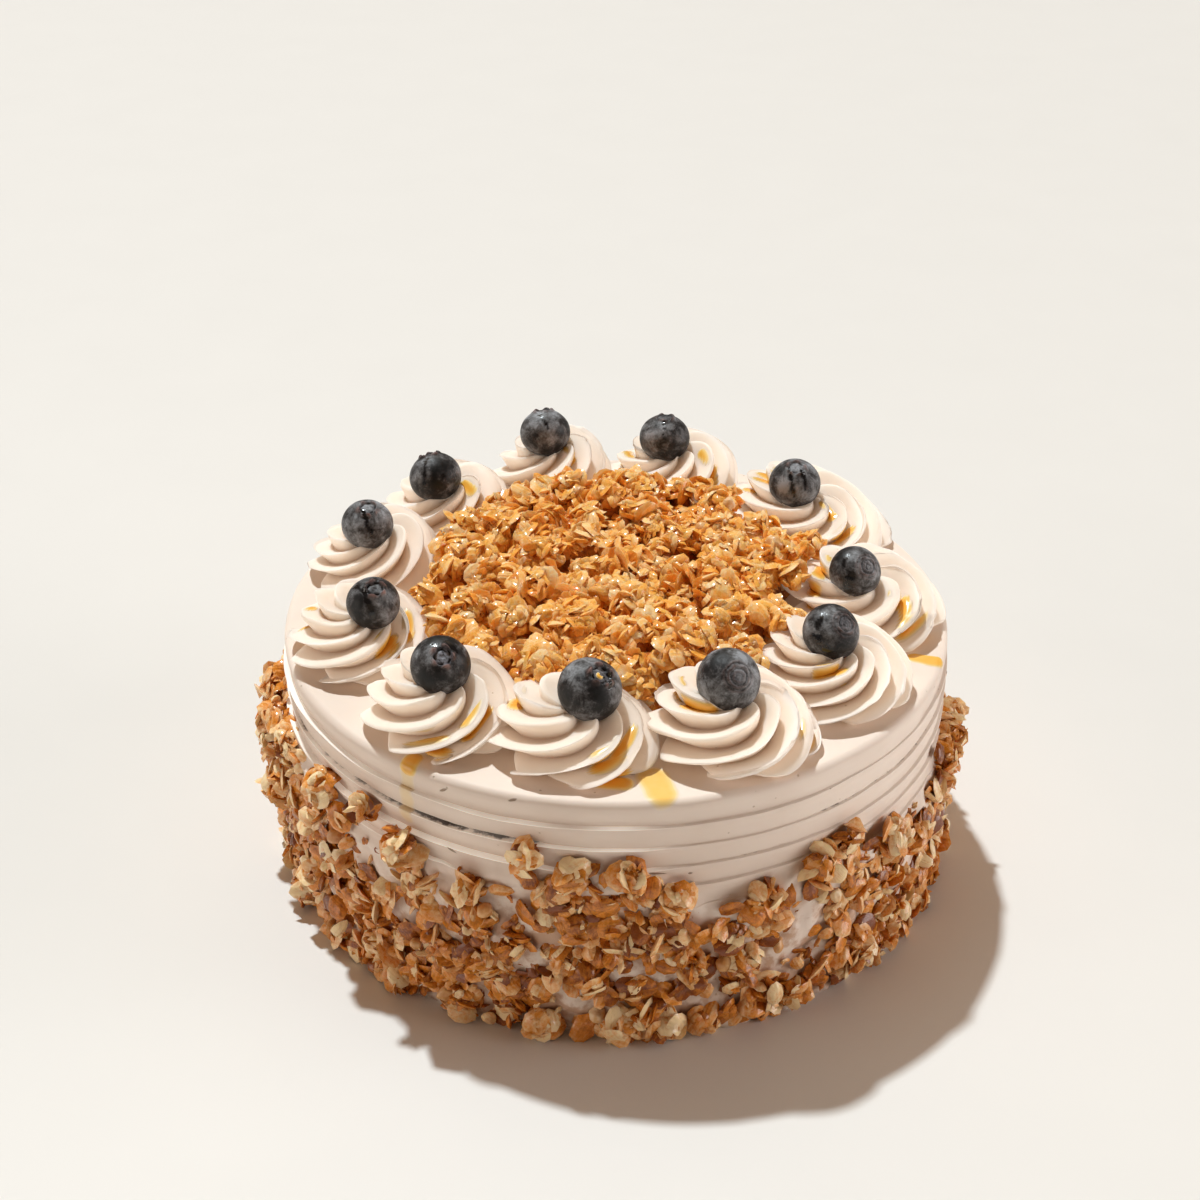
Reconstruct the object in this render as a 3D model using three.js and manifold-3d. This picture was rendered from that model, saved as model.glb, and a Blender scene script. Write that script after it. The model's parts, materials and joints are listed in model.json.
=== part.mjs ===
// A round blueberry coffee cake: a frosted body with combed sides, a crust of caramelised oat flakes round
// its foot, eleven piped rosettes on top with a blueberry on each, and a heap of oat flakes in the middle.
// Millimetres, +Z up. The origin is the middle of the flat underside, and -Y is the front.
import * as THREE from "three";
import { mergeVertices } from "three/addons/utils/BufferGeometryUtils.js";
import Module from "manifold-3d";

const wasm = await Module();
wasm.setup();

// The frosted body. A comb left ledges that run all the way round it: the depth of the first below the top
// edge, their pitch, and how far each one stands out below its height and steps in above it.
const cakeRadius = 93;
const cakeHeight = 74;
const cakeSides = 48;
const edgeRounding = 3;
const comb = { ledges: 4, first: 7.4, pitch: 6.2, proud: 0.7, inset: 0.4, lip: 0.8 };

// The crust of oat flakes round the foot: the height that it reaches at every 15 degrees, from +X by way of
// +Y, how far its lumps and the pits between them stand out of the frosting, how far they stray from their
// rows, how deep the crust is rooted, and how far out the middle of a loose flake lies.
const crustTops = [
  53, 55, 52, 45, 49, 57, 50, 47, 56, 52, 48, 55, 59, 57, 53, 49, 51, 56, 60, 45, 50, 46, 44, 47,
];
const crustSides = 74;
const crustRows = 7;
const crustLumps = { lowPit: 0.3, highPit: 2.0, lowLump: 3.2, highLump: 6.2, astray: 0.6, root: 4 };
const crustReach = { least: 2.6, most: 6.0, lowest: 2 };
const crustFlakes = 50;

// The heap of oat flakes in the middle of the top, the spacing of its lumps, how high they stand, how much
// lower the heap is at its rim, and how high above it the middle of a loose flake lies.
const heapRadius = 57;
const heapHeight = 13.5;
const heapSides = 40;
const heapLumps = { pitch: 7.6, height: 5.4, astray: 3 };
const heapFall = 0.3;
const heapReach = { least: 0.2, most: 2.6 };
const heapFlakes = 54;

// A rolled oat flake as it is baked into the caramel: its size, how much its rim strays from an oval, and how
// far it may tip, in degrees. The largest stand for two or three that stick together.
const flake = {
  long: 9.5, wide: 7.2, thick: 3.0, sides: 5, smallest: 0.95, largest: 1.6,
  rim: { least: 0.82, most: 1.12 }, flattest: 8, steepest: 65,
};

// What separates pieces that touch.
const clearance = 0.3;

// The rosettes, round the top: where each stands (degrees from +X, and mm from the middle), the radius and
// height of its crests, its number of fins, the turn of its first fin, its length along the edge against its
// width, and the direction of its high side. Then its berry: diameter, height of its middle, how far that is
// from the rosette's axis (x, y), and the tilt of its crown (degrees from upright, and where it leans to).
const rosettes = [
  { at: -161, out: 73, radius: 18.5, height: 14.5, fins: 8, turn: 10, stretch: 1.02, high: 115,
    berry: { size: 14.4, up: 17.0, dx: 4.0, dy: -2.6, tilt: 22, lean: 60 } },
  { at: -128, out: 73, radius: 19.5, height: 15.0, fins: 8, turn: 35, stretch: 1.02, high: 110,
    berry: { size: 15.4, up: 17.0, dx: 0.0, dy: 0.5, tilt: 34, lean: -80 } },
  { at: -99, out: 70, radius: 18.5, height: 14.5, fins: 7, turn: 5, stretch: 1.12, high: 120,
    berry: { size: 16.4, up: 17.0, dx: 3.9, dy: 1.0, tilt: 36, lean: -15 } },
  { at: -66, out: 72, radius: 21.0, height: 15.5, fins: 8, turn: 20, stretch: 1.0, high: 130,
    berry: { size: 16.2, up: 18.0, dx: -1.7, dy: 0.4, tilt: 62, lean: -76 } },
  { at: -36, out: 71, radius: 20.0, height: 15.0, fins: 9, turn: 0, stretch: 1.03, high: 130,
    berry: { size: 15.2, up: 17.0, dx: -1.8, dy: 0.5, tilt: 40, lean: -10 } },
  { at: -5, out: 69, radius: 21.5, height: 15.0, fins: 7, turn: 25, stretch: 1.0, high: 115,
    berry: { size: 14.4, up: 16.5, dx: -3.2, dy: -3.0, tilt: 44, lean: -35 } },
  { at: 38, out: 73, radius: 20.5, height: 14.0, fins: 8, turn: 15, stretch: 1.25, high: 110,
    berry: { size: 15.4, up: 16.0, dx: -4.0, dy: -0.4, tilt: 8, lean: 90 } },
  { at: 76, out: 73, radius: 20.5, height: 15.5, fins: 8, turn: 40, stretch: 1.02, high: 40,
    berry: { size: 15.6, up: 18.0, dx: -2.2, dy: 0.5, tilt: 6, lean: 90 } },
  { at: 106, out: 75, radius: 18.5, height: 16.0, fins: 7, turn: 30, stretch: 1.0, high: 20,
    berry: { size: 15.6, up: 19.5, dx: -0.8, dy: 0.0, tilt: 20, lean: 110 } },
  { at: 136, out: 71, radius: 19.0, height: 15.0, fins: 7, turn: 12, stretch: 1.0, high: 30,
    berry: { size: 15.6, up: 17.5, dx: -2.6, dy: -3.2, tilt: 24, lean: 130 } },
  { at: 163.5, out: 73, radius: 18.5, height: 14.5, fins: 8, turn: 28, stretch: 1.02, high: 40,
    berry: { size: 14.8, up: 17.0, dx: -1.0, dy: -3.4, tilt: 16, lean: -70 } },
];

// The crests of a rosette from the middle of its foot to its top: radius and height, and how deep the
// valleys between the fins are, as fractions of the rosette's own, and how many degrees the fins have turned.
const rosetteRings = [
  { out: 0.0, up: 0.0, valley: 0.0, turned: 0 },
  { out: 0.8, up: 0.0, valley: 0.14, turned: 0 },
  { out: 1.0, up: 0.18, valley: 0.32, turned: 6 },
  { out: 0.99, up: 0.44, valley: 0.34, turned: 34 },
  { out: 0.88, up: 0.72, valley: 0.31, turned: 70 },
  { out: 0.68, up: 0.93, valley: 0.25, turned: 106 },
  { out: 0.44, up: 1.0, valley: 0.16, turned: 140 },
  { out: 0.0, up: 0.86, valley: 0.0, turned: 140 },
];

// Across one fin: its sharp crest, the steep side behind it, and the long slope up to the next crest. Towards
// the top of the rosette a valley is cut less inwards and more downwards. Its high side stands this much
// higher than its middle, as a share of its height.
const finShape = [
  { along: 0.08, height: 1.0 },
  { along: 0.38, height: 0.0 },
  { along: 0.74, height: 0.45 },
];
const finStrength = { least: 0.88, most: 1.06 };
const finSpacing = 0.22;
const valleyCut = { lessInwards: 0.5, downwards: 0.8 };
const highSide = 0.24;

// A blueberry from its foot to the pit of its crown: radius and height as fractions of its radius.
const berryOutline = [
  [0.0, -0.88], [0.5, -0.76], [0.88, -0.42], [1.0, 0.02], [0.88, 0.46],
  [0.52, 0.77], [0.32, 0.88], [0.2, 0.66], [0.0, 0.62],
];
const berrySides = 10;
const hollowRings = 6;

const seeds = { crust: 11, rosettes: 29, heap: 47 };
const { degToRad, lerp } = THREE.MathUtils;
const wholeTurn = 2 * Math.PI;
const goldenAngle = Math.PI * (3 - Math.sqrt(5));

// A repeatable source of numbers from 0 to 1.
function drawFrom(seed) {
  let state = seed;
  return () => {
    state = (Math.imul(state, 1664525) + 1013904223) >>> 0;
    return state / 2 ** 32;
  };
}

// How high the crust of flakes reaches at an angle round the cake.
function crustTop(angle) {
  const place = ((angle / wholeTurn + 1) % 1) * crustTops.length;
  const before = Math.floor(place) % crustTops.length;
  const after = (before + 1) % crustTops.length;
  const share = THREE.MathUtils.smoothstep(place - Math.floor(place), 0, 1);
  return lerp(crustTops[before], crustTops[after], share);
}

// A closed solid from a geometry.
function solidOf(geometry) {
  const bare = new THREE.BufferGeometry();
  bare.setAttribute("position", geometry.getAttribute("position"));
  bare.setIndex(geometry.getIndex());
  const merged = mergeVertices(bare, 1e-3);
  return new wasm.Manifold(new wasm.Mesh({
    numProp: 3,
    vertProperties: merged.getAttribute("position").array,
    triVerts: new Uint32Array(merged.getIndex().array),
  }));
}

// The geometry of a solid.
function geometryOf(solid) {
  const mesh = solid.getMesh();
  const geometry = new THREE.BufferGeometry();
  geometry.setAttribute("position", new THREE.BufferAttribute(new Float32Array(mesh.vertProperties), 3));
  geometry.setIndex(new THREE.BufferAttribute(new Uint32Array(mesh.triVerts), 1));
  geometry.computeVertexNormals();
  return geometry;
}

// The main body of a solid, without loose scraps and with sealed hollows filled.
function mainBody(solid) {
  const bodies = solidOf(geometryOf(solid)).decompose();
  return bodies.reduce((best, body) => (body.volume() > best.volume() ? body : best));
}

// Turns an outline of [radius, height] pairs round Z. move(point, angle, ring, side) shifts its points.
function turned(outline, sides, move = () => {}) {
  const geometry = new THREE.LatheGeometry(outline.map(([x, y]) => new THREE.Vector2(x, y)), sides);
  const places = geometry.getAttribute("position");
  const point = new THREE.Vector3();
  for (let i = 0; i < places.count; i += 1) {
    const ring = i % outline.length;
    const side = Math.floor(i / outline.length) % sides;
    const angle = (side / sides) * wholeTurn;
    const [radius, height] = outline[ring];
    point.set(radius * Math.cos(angle), radius * Math.sin(angle), height);
    move(point, angle, ring, side);
    places.setXYZ(i, point.x, point.y, point.z);
  }
  return geometry;
}

// A box between two heights, wider than the cake.
function slab(low, high) {
  const width = 4 * cakeRadius;
  const geometry = new THREE.BoxGeometry(width, width, high - low);
  geometry.translate(0, 0, (low + high) / 2);
  return solidOf(geometry);
}

// A rolled oat flake lying flat at the origin: an oval lens with an uneven rim.
function flakeGeometry(draw) {
  const geometry = new THREE.SphereGeometry(1, flake.sides, 2);
  const rim = Array.from({ length: flake.sides }, () => lerp(flake.rim.least, flake.rim.most, draw()));
  const size = lerp(flake.smallest, flake.largest, draw()) / 2;
  const places = geometry.getAttribute("position");
  for (let i = 0; i < places.count; i += 1) {
    const [x, y, z] = [places.getX(i), places.getY(i), places.getZ(i)];
    const side = Math.round((Math.atan2(z, x) / wholeTurn + 1) * flake.sides) % flake.sides;
    const reach = Math.hypot(x, z) > 0.5 ? rim[side] * size : 0;
    places.setXYZ(i, x * reach * flake.long, -z * reach * flake.wide, y * size * flake.thick);
  }
  return geometry;
}

// A flake laid at a place with its flat side along outward, spun about it and then tipped.
function laidFlake(draw, place, outward) {
  const geometry = flakeGeometry(draw);
  geometry.rotateZ(wholeTurn * draw());
  geometry.rotateX(degToRad(lerp(flake.flattest, flake.steepest, draw())));
  geometry.rotateZ(wholeTurn * draw());
  geometry.applyQuaternion(new THREE.Quaternion().setFromUnitVectors(new THREE.Vector3(0, 0, 1), outward));
  geometry.translate(place.x, place.y, place.z);
  return solidOf(geometry);
}

// The outline of the frosted body, from the middle of its foot to the middle of its top.
function cakeOutline() {
  const points = [[0, 0], [cakeRadius, 0]];
  for (let i = comb.ledges - 1; i >= 0; i -= 1) {
    const height = cakeHeight - comb.first - i * comb.pitch;
    points.push([cakeRadius + comb.proud, height - comb.lip / 2]);
    points.push([cakeRadius - comb.inset, height + comb.lip / 2]);
  }
  for (const turn of [0, 45, 90].map(degToRad)) {
    points.push([
      cakeRadius - edgeRounding * (1 - Math.cos(turn)), cakeHeight - edgeRounding * (1 - Math.sin(turn)),
    ]);
  }
  points.push([0, cakeHeight]);
  return points;
}

// The lumpy band of the crust, rooted in the frosting: its outline runs from its inner foot out, up and back.
function crustSolid(draw) {
  const root = cakeRadius - crustLumps.root;
  const rows = Array.from({ length: crustRows + 1 }, (_, i) => [cakeRadius, i / crustRows]);
  const outline = [[root, 0], ...rows, [root, 1], [root, 0]];
  const { lowPit, highPit, lowLump, highLump, astray } = crustLumps;
  const lumps = outline.map(() => Array.from({ length: crustSides }, () => ({
    out: draw() < 0.5 ? lerp(lowLump, highLump, draw()) : lerp(lowPit, highPit, draw()),
    up: (astray * (draw() - 0.5)) / crustRows,
    along: (astray * (draw() - 0.5) * wholeTurn) / crustSides,
  })));
  return solidOf(turned(outline, crustSides, (point, angle, ring, side) => {
    const inside = ring === 0 || ring > crustRows + 1;
    if (inside) {
      point.z *= crustTop(angle);
      return;
    }
    const { out, up, along } = lumps[ring][side];
    const top = ring === crustRows + 1;
    const radius = cakeRadius + (top ? Math.min(out, highPit) : out);
    const height = crustTop(angle) * (point.z + (top || ring === 1 ? 0 : up));
    point.set(radius * Math.cos(angle + along), radius * Math.sin(angle + along), height);
  }));
}

// The frosted body with the crust and its loose flakes fused on.
function makeCake() {
  const draw = drawFrom(seeds.crust);
  const fused = [solidOf(turned(cakeOutline(), cakeSides)), crustSolid(draw)];
  for (let i = 0; i < crustFlakes; i += 1) {
    const angle = (i * goldenAngle) % wholeTurn;
    const height = lerp(crustReach.lowest, crustTop(angle), (i + 0.5) / crustFlakes);
    const out = cakeRadius + lerp(crustReach.least, crustReach.most, draw());
    const place = new THREE.Vector3(out * Math.cos(angle), out * Math.sin(angle), height);
    fused.push(laidFlake(draw, place, new THREE.Vector3(Math.cos(angle), Math.sin(angle), 0)));
  }
  return mainBody(wasm.Manifold.union(fused).intersect(slab(0, cakeHeight)));
}

// One rosette round its own axis, standing on z = 0.
function rosetteSolid(rosette, draw) {
  const perFin = finShape.length;
  const { least, most } = finStrength;
  const strength = Array.from({ length: rosette.fins }, () => lerp(least, most, draw()));
  const spacing = Array.from({ length: rosette.fins }, () => finSpacing * (draw() - 0.5));
  const along = degToRad(rosette.at + 90);
  const outline = rosetteRings.map((ring) => [ring.out * rosette.radius, ring.up * rosette.height]);
  return solidOf(turned(outline, rosette.fins * perFin, (point, angle, ring, side) => {
    const shape = rosetteRings[ring];
    const fin = Math.floor(side / perFin);
    const { along: step, height } = finShape[side % perFin];
    const place = (fin + step + spacing[fin]) / rosette.fins;
    const direction = place * wholeTurn + degToRad(rosette.turn + shape.turned);
    const drop = shape.valley * (1 - height * strength[fin]) * rosette.radius;
    const radius = shape.out * rosette.radius - drop * (1 - valleyCut.lessInwards * shape.up);
    point.x = radius * Math.cos(direction);
    point.y = radius * Math.sin(direction);
    const raised = 1 + highSide * shape.out * Math.cos(direction - degToRad(rosette.high));
    point.z = point.z * raised - valleyCut.downwards * drop * shape.up;
    const lengthwise = (rosette.stretch - 1) * (point.x * Math.cos(along) + point.y * Math.sin(along));
    point.x += lengthwise * Math.cos(along);
    point.y += lengthwise * Math.sin(along);
  }));
}

// Where a rosette stands on the cake.
function standing(rosette) {
  const angle = degToRad(rosette.at);
  return new THREE.Vector3(rosette.out * Math.cos(angle), rosette.out * Math.sin(angle), cakeHeight);
}

// The middle of a rosette's berry.
function berryPlace(rosette) {
  const { dx, dy, up } = rosette.berry;
  return standing(rosette).add(new THREE.Vector3(dx, dy, up));
}

// A blueberry round its own middle, its crown pointing where it leans.
function berryGeometry(berry) {
  const radius = berry.size / 2;
  const geometry = turned(berryOutline.map(([out, up]) => [out * radius, up * radius]), berrySides);
  const lean = degToRad(berry.lean);
  const hinge = new THREE.Vector3(-Math.sin(lean), Math.cos(lean), 0);
  geometry.applyQuaternion(new THREE.Quaternion().setFromAxisAngle(hinge, degToRad(berry.tilt)));
  geometry.computeVertexNormals();
  return geometry;
}

// The space past the line where two neighbouring rosettes meet.
function beyondMeeting(rosette, neighbour) {
  const from = standing(rosette);
  const apart = standing(neighbour).sub(from);
  const share = (rosette.radius * rosette.stretch)
    / (rosette.radius * rosette.stretch + neighbour.radius * neighbour.stretch);
  const geometry = new THREE.BoxGeometry(cakeRadius, cakeRadius, cakeRadius);
  geometry.translate(apart.length() * share - clearance / 2 + cakeRadius / 2, 0, 0);
  geometry.rotateZ(Math.atan2(apart.y, apart.x));
  geometry.translate(from.x, from.y, from.z);
  return solidOf(geometry);
}

// The rosettes on the cake, parted where neighbours meet, each with a hollow for its berry.
function makeRosettes() {
  const draw = drawFrom(seeds.rosettes);
  return rosettes.map((rosette, i) => {
    const before = rosettes[(i + rosettes.length - 1) % rosettes.length];
    const after = rosettes[(i + 1) % rosettes.length];
    const foot = standing(rosette);
    const berry = berryPlace(rosette);
    const hollowRadius = rosette.berry.size / 2 + 2 * clearance;
    const hollow = new THREE.SphereGeometry(hollowRadius, berrySides, hollowRings);
    hollow.rotateX(Math.PI / 2);
    hollow.translate(berry.x, berry.y, berry.z);
    const whole = rosetteSolid(rosette, draw).translate([foot.x, foot.y, foot.z]);
    const parted = whole.subtract(beyondMeeting(rosette, before)).subtract(beyondMeeting(rosette, after));
    return mainBody(parted.subtract(solidOf(hollow)));
  });
}

// A rosette's solid grown by the clearance round its own axis.
function grown(solid, rosette) {
  const foot = standing(rosette);
  const scale = 1 + (2 * clearance) / rosette.radius;
  return solid.translate([-foot.x, -foot.y, -foot.z]).scale(scale).translate([foot.x, foot.y, foot.z]);
}

// The height of the heap without its lumps: level in the middle, and falling off near its rim.
function moundHeight(radius) {
  return heapHeight * (1 - heapFall * Math.min(1, radius / heapRadius) ** 6);
}

// A round block with a lumpy top, standing on z = 0.
function moundSolid(draw) {
  const width = 2 * (heapRadius + heapLumps.pitch);
  const cells = Math.round(width / heapLumps.pitch);
  const line = Array.from({ length: cells + 1 }, (_, i) => i);
  const lumps = line.map(() => line.map(() => ({
    up: heapLumps.height * (draw() - 0.5),
    x: heapLumps.astray * (draw() - 0.5),
    y: heapLumps.astray * (draw() - 0.5),
  })));
  const block = new THREE.BoxGeometry(width, width, 1, cells, cells, 1);
  const places = block.getAttribute("position");
  for (let i = 0; i < places.count; i += 1) {
    const [x, y, z] = [places.getX(i), places.getY(i), places.getZ(i)];
    const lump = lumps[Math.round((x / width + 0.5) * cells)][Math.round((y / width + 0.5) * cells)];
    if (z > 0) places.setXYZ(i, x + lump.x, y + lump.y, moundHeight(Math.hypot(x, y)) + lump.up);
    else places.setZ(i, 0);
  }
  const top = 2 * heapHeight;
  const round = turned([[0, 0], [heapRadius, 0], [heapRadius, top], [0, top]], heapSides);
  return solidOf(block).intersect(solidOf(round));
}

// The heap: an uneven mound between the rosettes, with flakes standing out of it wherever they clear them.
function makeHeap(around) {
  const draw = drawFrom(seeds.heap);
  const mound = moundSolid(draw).translate([0, 0, cakeHeight]);
  const core = around.reduce((solid, rosette) => solid.subtract(rosette), mound);
  const flakes = [];
  for (let i = 0; i < heapFlakes; i += 1) {
    const angle = i * goldenAngle;
    const radius = heapRadius * Math.sqrt((i + 0.5) / heapFlakes);
    const height = cakeHeight + moundHeight(radius) + lerp(heapReach.least, heapReach.most, draw());
    const place = new THREE.Vector3(radius * Math.cos(angle), radius * Math.sin(angle), height);
    const laid = laidFlake(draw, place, new THREE.Vector3(0, 0, 1));
    if (around.every((rosette) => rosette.intersect(laid).isEmpty())) flakes.push(laid);
  }
  return mainBody(wasm.Manifold.union([core, ...flakes]).intersect(slab(cakeHeight, 2 * cakeHeight)));
}

const frosting = new THREE.MeshStandardMaterial({ color: 0xe6cfba, roughness: 0.55, metalness: 0 });
const piping = new THREE.MeshStandardMaterial({ color: 0xecd6c0, roughness: 0.5, metalness: 0 });
const caramelOats = new THREE.MeshStandardMaterial({ color: 0xb5763a, roughness: 0.35, metalness: 0 });
const berrySkin = new THREE.MeshStandardMaterial({ color: 0x2c3340, roughness: 0.45, metalness: 0 });

const cake = new THREE.Group();

function add(name, geometry, material, place = new THREE.Vector3()) {
  const mesh = new THREE.Mesh(geometry, material);
  mesh.name = name;
  mesh.position.copy(place);
  cake.add(mesh);
}

const piped = makeRosettes();
add("cake", geometryOf(makeCake()), frosting);
rosettes.forEach((rosette, i) => {
  const number = String(i + 1).padStart(2, "0");
  add(`rosette_${number}`, geometryOf(piped[i]), piping);
  add(`blueberry_${number}`, berryGeometry(rosette.berry), berrySkin, berryPlace(rosette));
});
add("oat_heap", geometryOf(makeHeap(piped.map((solid, i) => grown(solid, rosettes[i])))), caramelOats);

export default cake;
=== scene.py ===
import json
import math
import bmesh
import bpy
import numpy as np
from mathutils import Matrix, Vector

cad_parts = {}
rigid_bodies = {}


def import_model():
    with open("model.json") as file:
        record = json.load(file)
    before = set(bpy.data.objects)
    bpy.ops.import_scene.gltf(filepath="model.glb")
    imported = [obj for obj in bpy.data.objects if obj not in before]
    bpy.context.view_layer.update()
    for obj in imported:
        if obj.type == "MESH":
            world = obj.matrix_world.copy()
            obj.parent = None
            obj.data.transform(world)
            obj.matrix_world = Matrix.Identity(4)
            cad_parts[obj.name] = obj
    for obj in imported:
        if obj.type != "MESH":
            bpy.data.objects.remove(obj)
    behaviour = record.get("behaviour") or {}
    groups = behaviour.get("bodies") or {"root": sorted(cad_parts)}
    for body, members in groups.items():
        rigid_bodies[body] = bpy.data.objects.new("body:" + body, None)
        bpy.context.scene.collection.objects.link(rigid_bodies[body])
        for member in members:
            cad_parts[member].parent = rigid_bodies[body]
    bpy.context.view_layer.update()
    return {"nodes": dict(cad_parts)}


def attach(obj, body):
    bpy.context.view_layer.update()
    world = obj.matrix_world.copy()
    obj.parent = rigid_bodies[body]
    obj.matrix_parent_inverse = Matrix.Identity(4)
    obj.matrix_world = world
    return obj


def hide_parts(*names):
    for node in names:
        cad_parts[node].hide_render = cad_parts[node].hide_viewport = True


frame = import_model()
print("frame loaded:", len(frame["nodes"]), "nodes")

mm = 0.001  # everything below is in millimetres until it becomes a mesh
goldenTurn = math.pi * (3 - math.sqrt(5))  # spreads places evenly round a middle


def lattice(cells, seed):
    # a repeatable number from 0 to 1 for each whole-numbered point
    n = cells[..., 0] * 374761393 + cells[..., 1] * 668265263 + cells[..., 2] * 362437 + seed * 974711
    n = (n ^ (n >> 13)) * 1274126177
    return ((n ^ (n >> 16)) & 0xffffff) / 0xffffff


def lumps(points, size, seed=0):
    # smooth noise from -1 to 1 with a lump about every `size` mm
    spots = np.asarray(points, float) / size
    cells = np.floor(spots).astype(np.int64)
    share = spots - cells
    share = share * share * (3 - 2 * share)
    total = 0
    for corner in np.ndindex(2, 2, 2):
        weight = np.prod(np.where(corner, share, 1 - share), axis=-1)
        total = total + weight * lattice(cells + np.array(corner), seed)
    return 2 * total - 1


def soft(value, low, high):
    # 0 below low, 1 above high, and smooth between
    share = np.clip((value - low) / (high - low), 0, 1)
    return share * share * (3 - 2 * share)


def unit(vectors):
    return vectors / np.maximum(np.linalg.norm(vectors, axis=-1, keepdims=True), 1e-9)


def ringFaces(rows, columns):
    # the quads of a grid whose last column meets its first
    row = np.arange(rows - 1)[:, None] * columns
    here = np.arange(columns)[None, :]
    after = (here + 1) % columns
    quads = [row + here, row + after, row + columns + after, row + columns + here]
    return np.stack(quads, axis=-1).reshape(-1, 4)


def closedRings(grid):
    # points and faces of a ring grid (rows, columns, 3), with a fan at its foot and one at its top
    rows, columns = grid.shape[:2]
    foot, top = grid[0].mean(axis=0), grid[-1].mean(axis=0)
    points = np.vstack([grid.reshape(-1, 3), foot, top])
    faces = ringFaces(rows, columns).tolist()
    last = (rows - 1) * columns
    for here in range(columns):
        after = (here + 1) % columns
        faces.append([after, here, rows * columns])
        faces.append([last + here, last + after, rows * columns + 1])
    return points, faces


def makePiece(name, points, faces, finish, marks=None, crease=None):
    mesh = bpy.data.meshes.new(name)
    faces = faces if isinstance(faces, list) else faces.tolist()
    mesh.from_pydata((np.asarray(points) * mm).tolist(), [], faces)
    mesh.update()
    for mark, values in (marks or {}).items():
        layer = mesh.attributes.new(mark, "FLOAT", "POINT")
        layer.data.foreach_set("value", np.asarray(values, np.float32).ravel())
    mesh.shade_smooth()
    if crease:
        mesh.set_sharp_from_angle(angle=math.radians(crease))
    mesh.materials.append(finish.material)
    piece = bpy.data.objects.new(name, mesh)
    bpy.context.scene.collection.objects.link(piece)
    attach(piece, "root")
    return piece


class Wire:
    # a node's output that takes part in sums
    def __init__(self, finish, socket):
        self.finish = finish
        self.socket = socket

    def sum(self, operation, first, second=0.0):
        return self.finish.node("ShaderNodeMath", {"operation": operation}, {0: first, 1: second})

    def __add__(self, other):
        return self.sum("ADD", self, other)

    def __sub__(self, other):
        return self.sum("SUBTRACT", self, other)

    def __rsub__(self, other):
        return self.sum("SUBTRACT", other, self)

    def __mul__(self, other):
        return self.sum("MULTIPLY", self, other)

    def __truediv__(self, other):
        return self.sum("DIVIDE", self, other)

    def __pow__(self, other):
        return self.sum("POWER", self, other)

    __radd__ = __add__
    __rmul__ = __mul__

    def atMost(self, other):
        return self.sum("MINIMUM", self, other)

    def between(self, low, high, start=0.0, end=1.0):
        # start below low, end above high, and smooth between
        return self.finish.node(
            "ShaderNodeMapRange", {"interpolation_type": "SMOOTHSTEP"},
            {"Value": self, "From Min": low, "From Max": high, "To Min": start, "To Max": end},
        )


class Finish:
    # one material: a Principled shader with fixed values, and the nodes that feed it
    def __init__(self, name, fixed):
        self.material = bpy.data.materials.new(name)
        self.material.use_nodes = True
        self.tree = self.material.node_tree
        self.shader = self.tree.nodes["Principled BSDF"]
        for socket, value in fixed.items():
            self.shader.inputs[socket].default_value = value

    def node(self, kind, settings=None, inputs=None, out=0):
        made = self.tree.nodes.new(kind)
        for setting, value in (settings or {}).items():
            if setting == "stops":
                for stop in range(len(value) - 2):
                    made.color_ramp.elements.new(0.5)
                for element, (place, colour) in zip(made.color_ramp.elements, value):
                    element.position = place
                    element.color = (*colour, 1)
            else:
                setattr(made, setting, value)
        for socket, value in (inputs or {}).items():
            if isinstance(value, Wire):
                self.tree.links.new(value.socket, made.inputs[socket])
            else:
                made.inputs[socket].default_value = value
        return Wire(self, made.outputs[out])

    def feed(self, socket, wire):
        self.tree.links.new(wire.socket, self.shader.inputs[socket])

    def place(self):
        return self.node("ShaderNodeTexCoord", out="Object")

    def mark(self, name):
        return self.node("ShaderNodeAttribute", {"attribute_name": name}, out="Fac")

    def axes(self, vector):
        return [self.node("ShaderNodeSeparateXYZ", {}, {0: vector}, out=axis) for axis in range(3)]

    def vector(self, x, y, z):
        return self.node("ShaderNodeCombineXYZ", {}, {0: x, 1: y, 2: z})

    def grain(self, vector, size, detail=2.0, rough=0.5, warp=0.0):
        # noise from 0 to 1 with a lump about every `size` mm
        return self.node("ShaderNodeTexNoise", {}, {
            "Vector": vector, "Scale": 1 / (size * mm),
            "Detail": detail, "Roughness": rough, "Distortion": warp,
        })

    def cells(self, vector, size, out="Distance"):
        return self.node("ShaderNodeTexVoronoi", {}, {"Vector": vector, "Scale": 1 / (size * mm)}, out=out)

    def ramp(self, wire, stops):
        return self.node("ShaderNodeValToRGB", {"stops": stops}, {0: wire})

    def blend(self, share, first, second):
        both = [value if isinstance(value, Wire) else (*value, 1) for value in (first, second)]
        return self.node("ShaderNodeMix", {"data_type": "RGBA"}, {0: share, 6: both[0], 7: both[1]}, out=2)

    def relief(self, height, depth, under=None):
        inputs = {"Strength": 1.0, "Distance": depth * mm, "Height": height}
        if under:
            inputs["Normal"] = under
        return self.node("ShaderNodeBump", {}, inputs)


cameraView = {"place": (-4.5, -476.0, 360.6), "pitchDown": 30.86, "lens": 58.91}

camera = bpy.data.objects.new("camera", bpy.data.cameras.new("camera"))
camera.location = Vector(cameraView["place"]) * mm
camera.rotation_euler = (math.radians(90 - cameraView["pitchDown"]), 0, 0)
camera.data.lens = cameraView["lens"]
camera.data.sensor_width = 36
camera.data.clip_start = 0.01
bpy.context.scene.collection.objects.link(camera)
bpy.context.scene.camera = camera
print("camera set")


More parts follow.
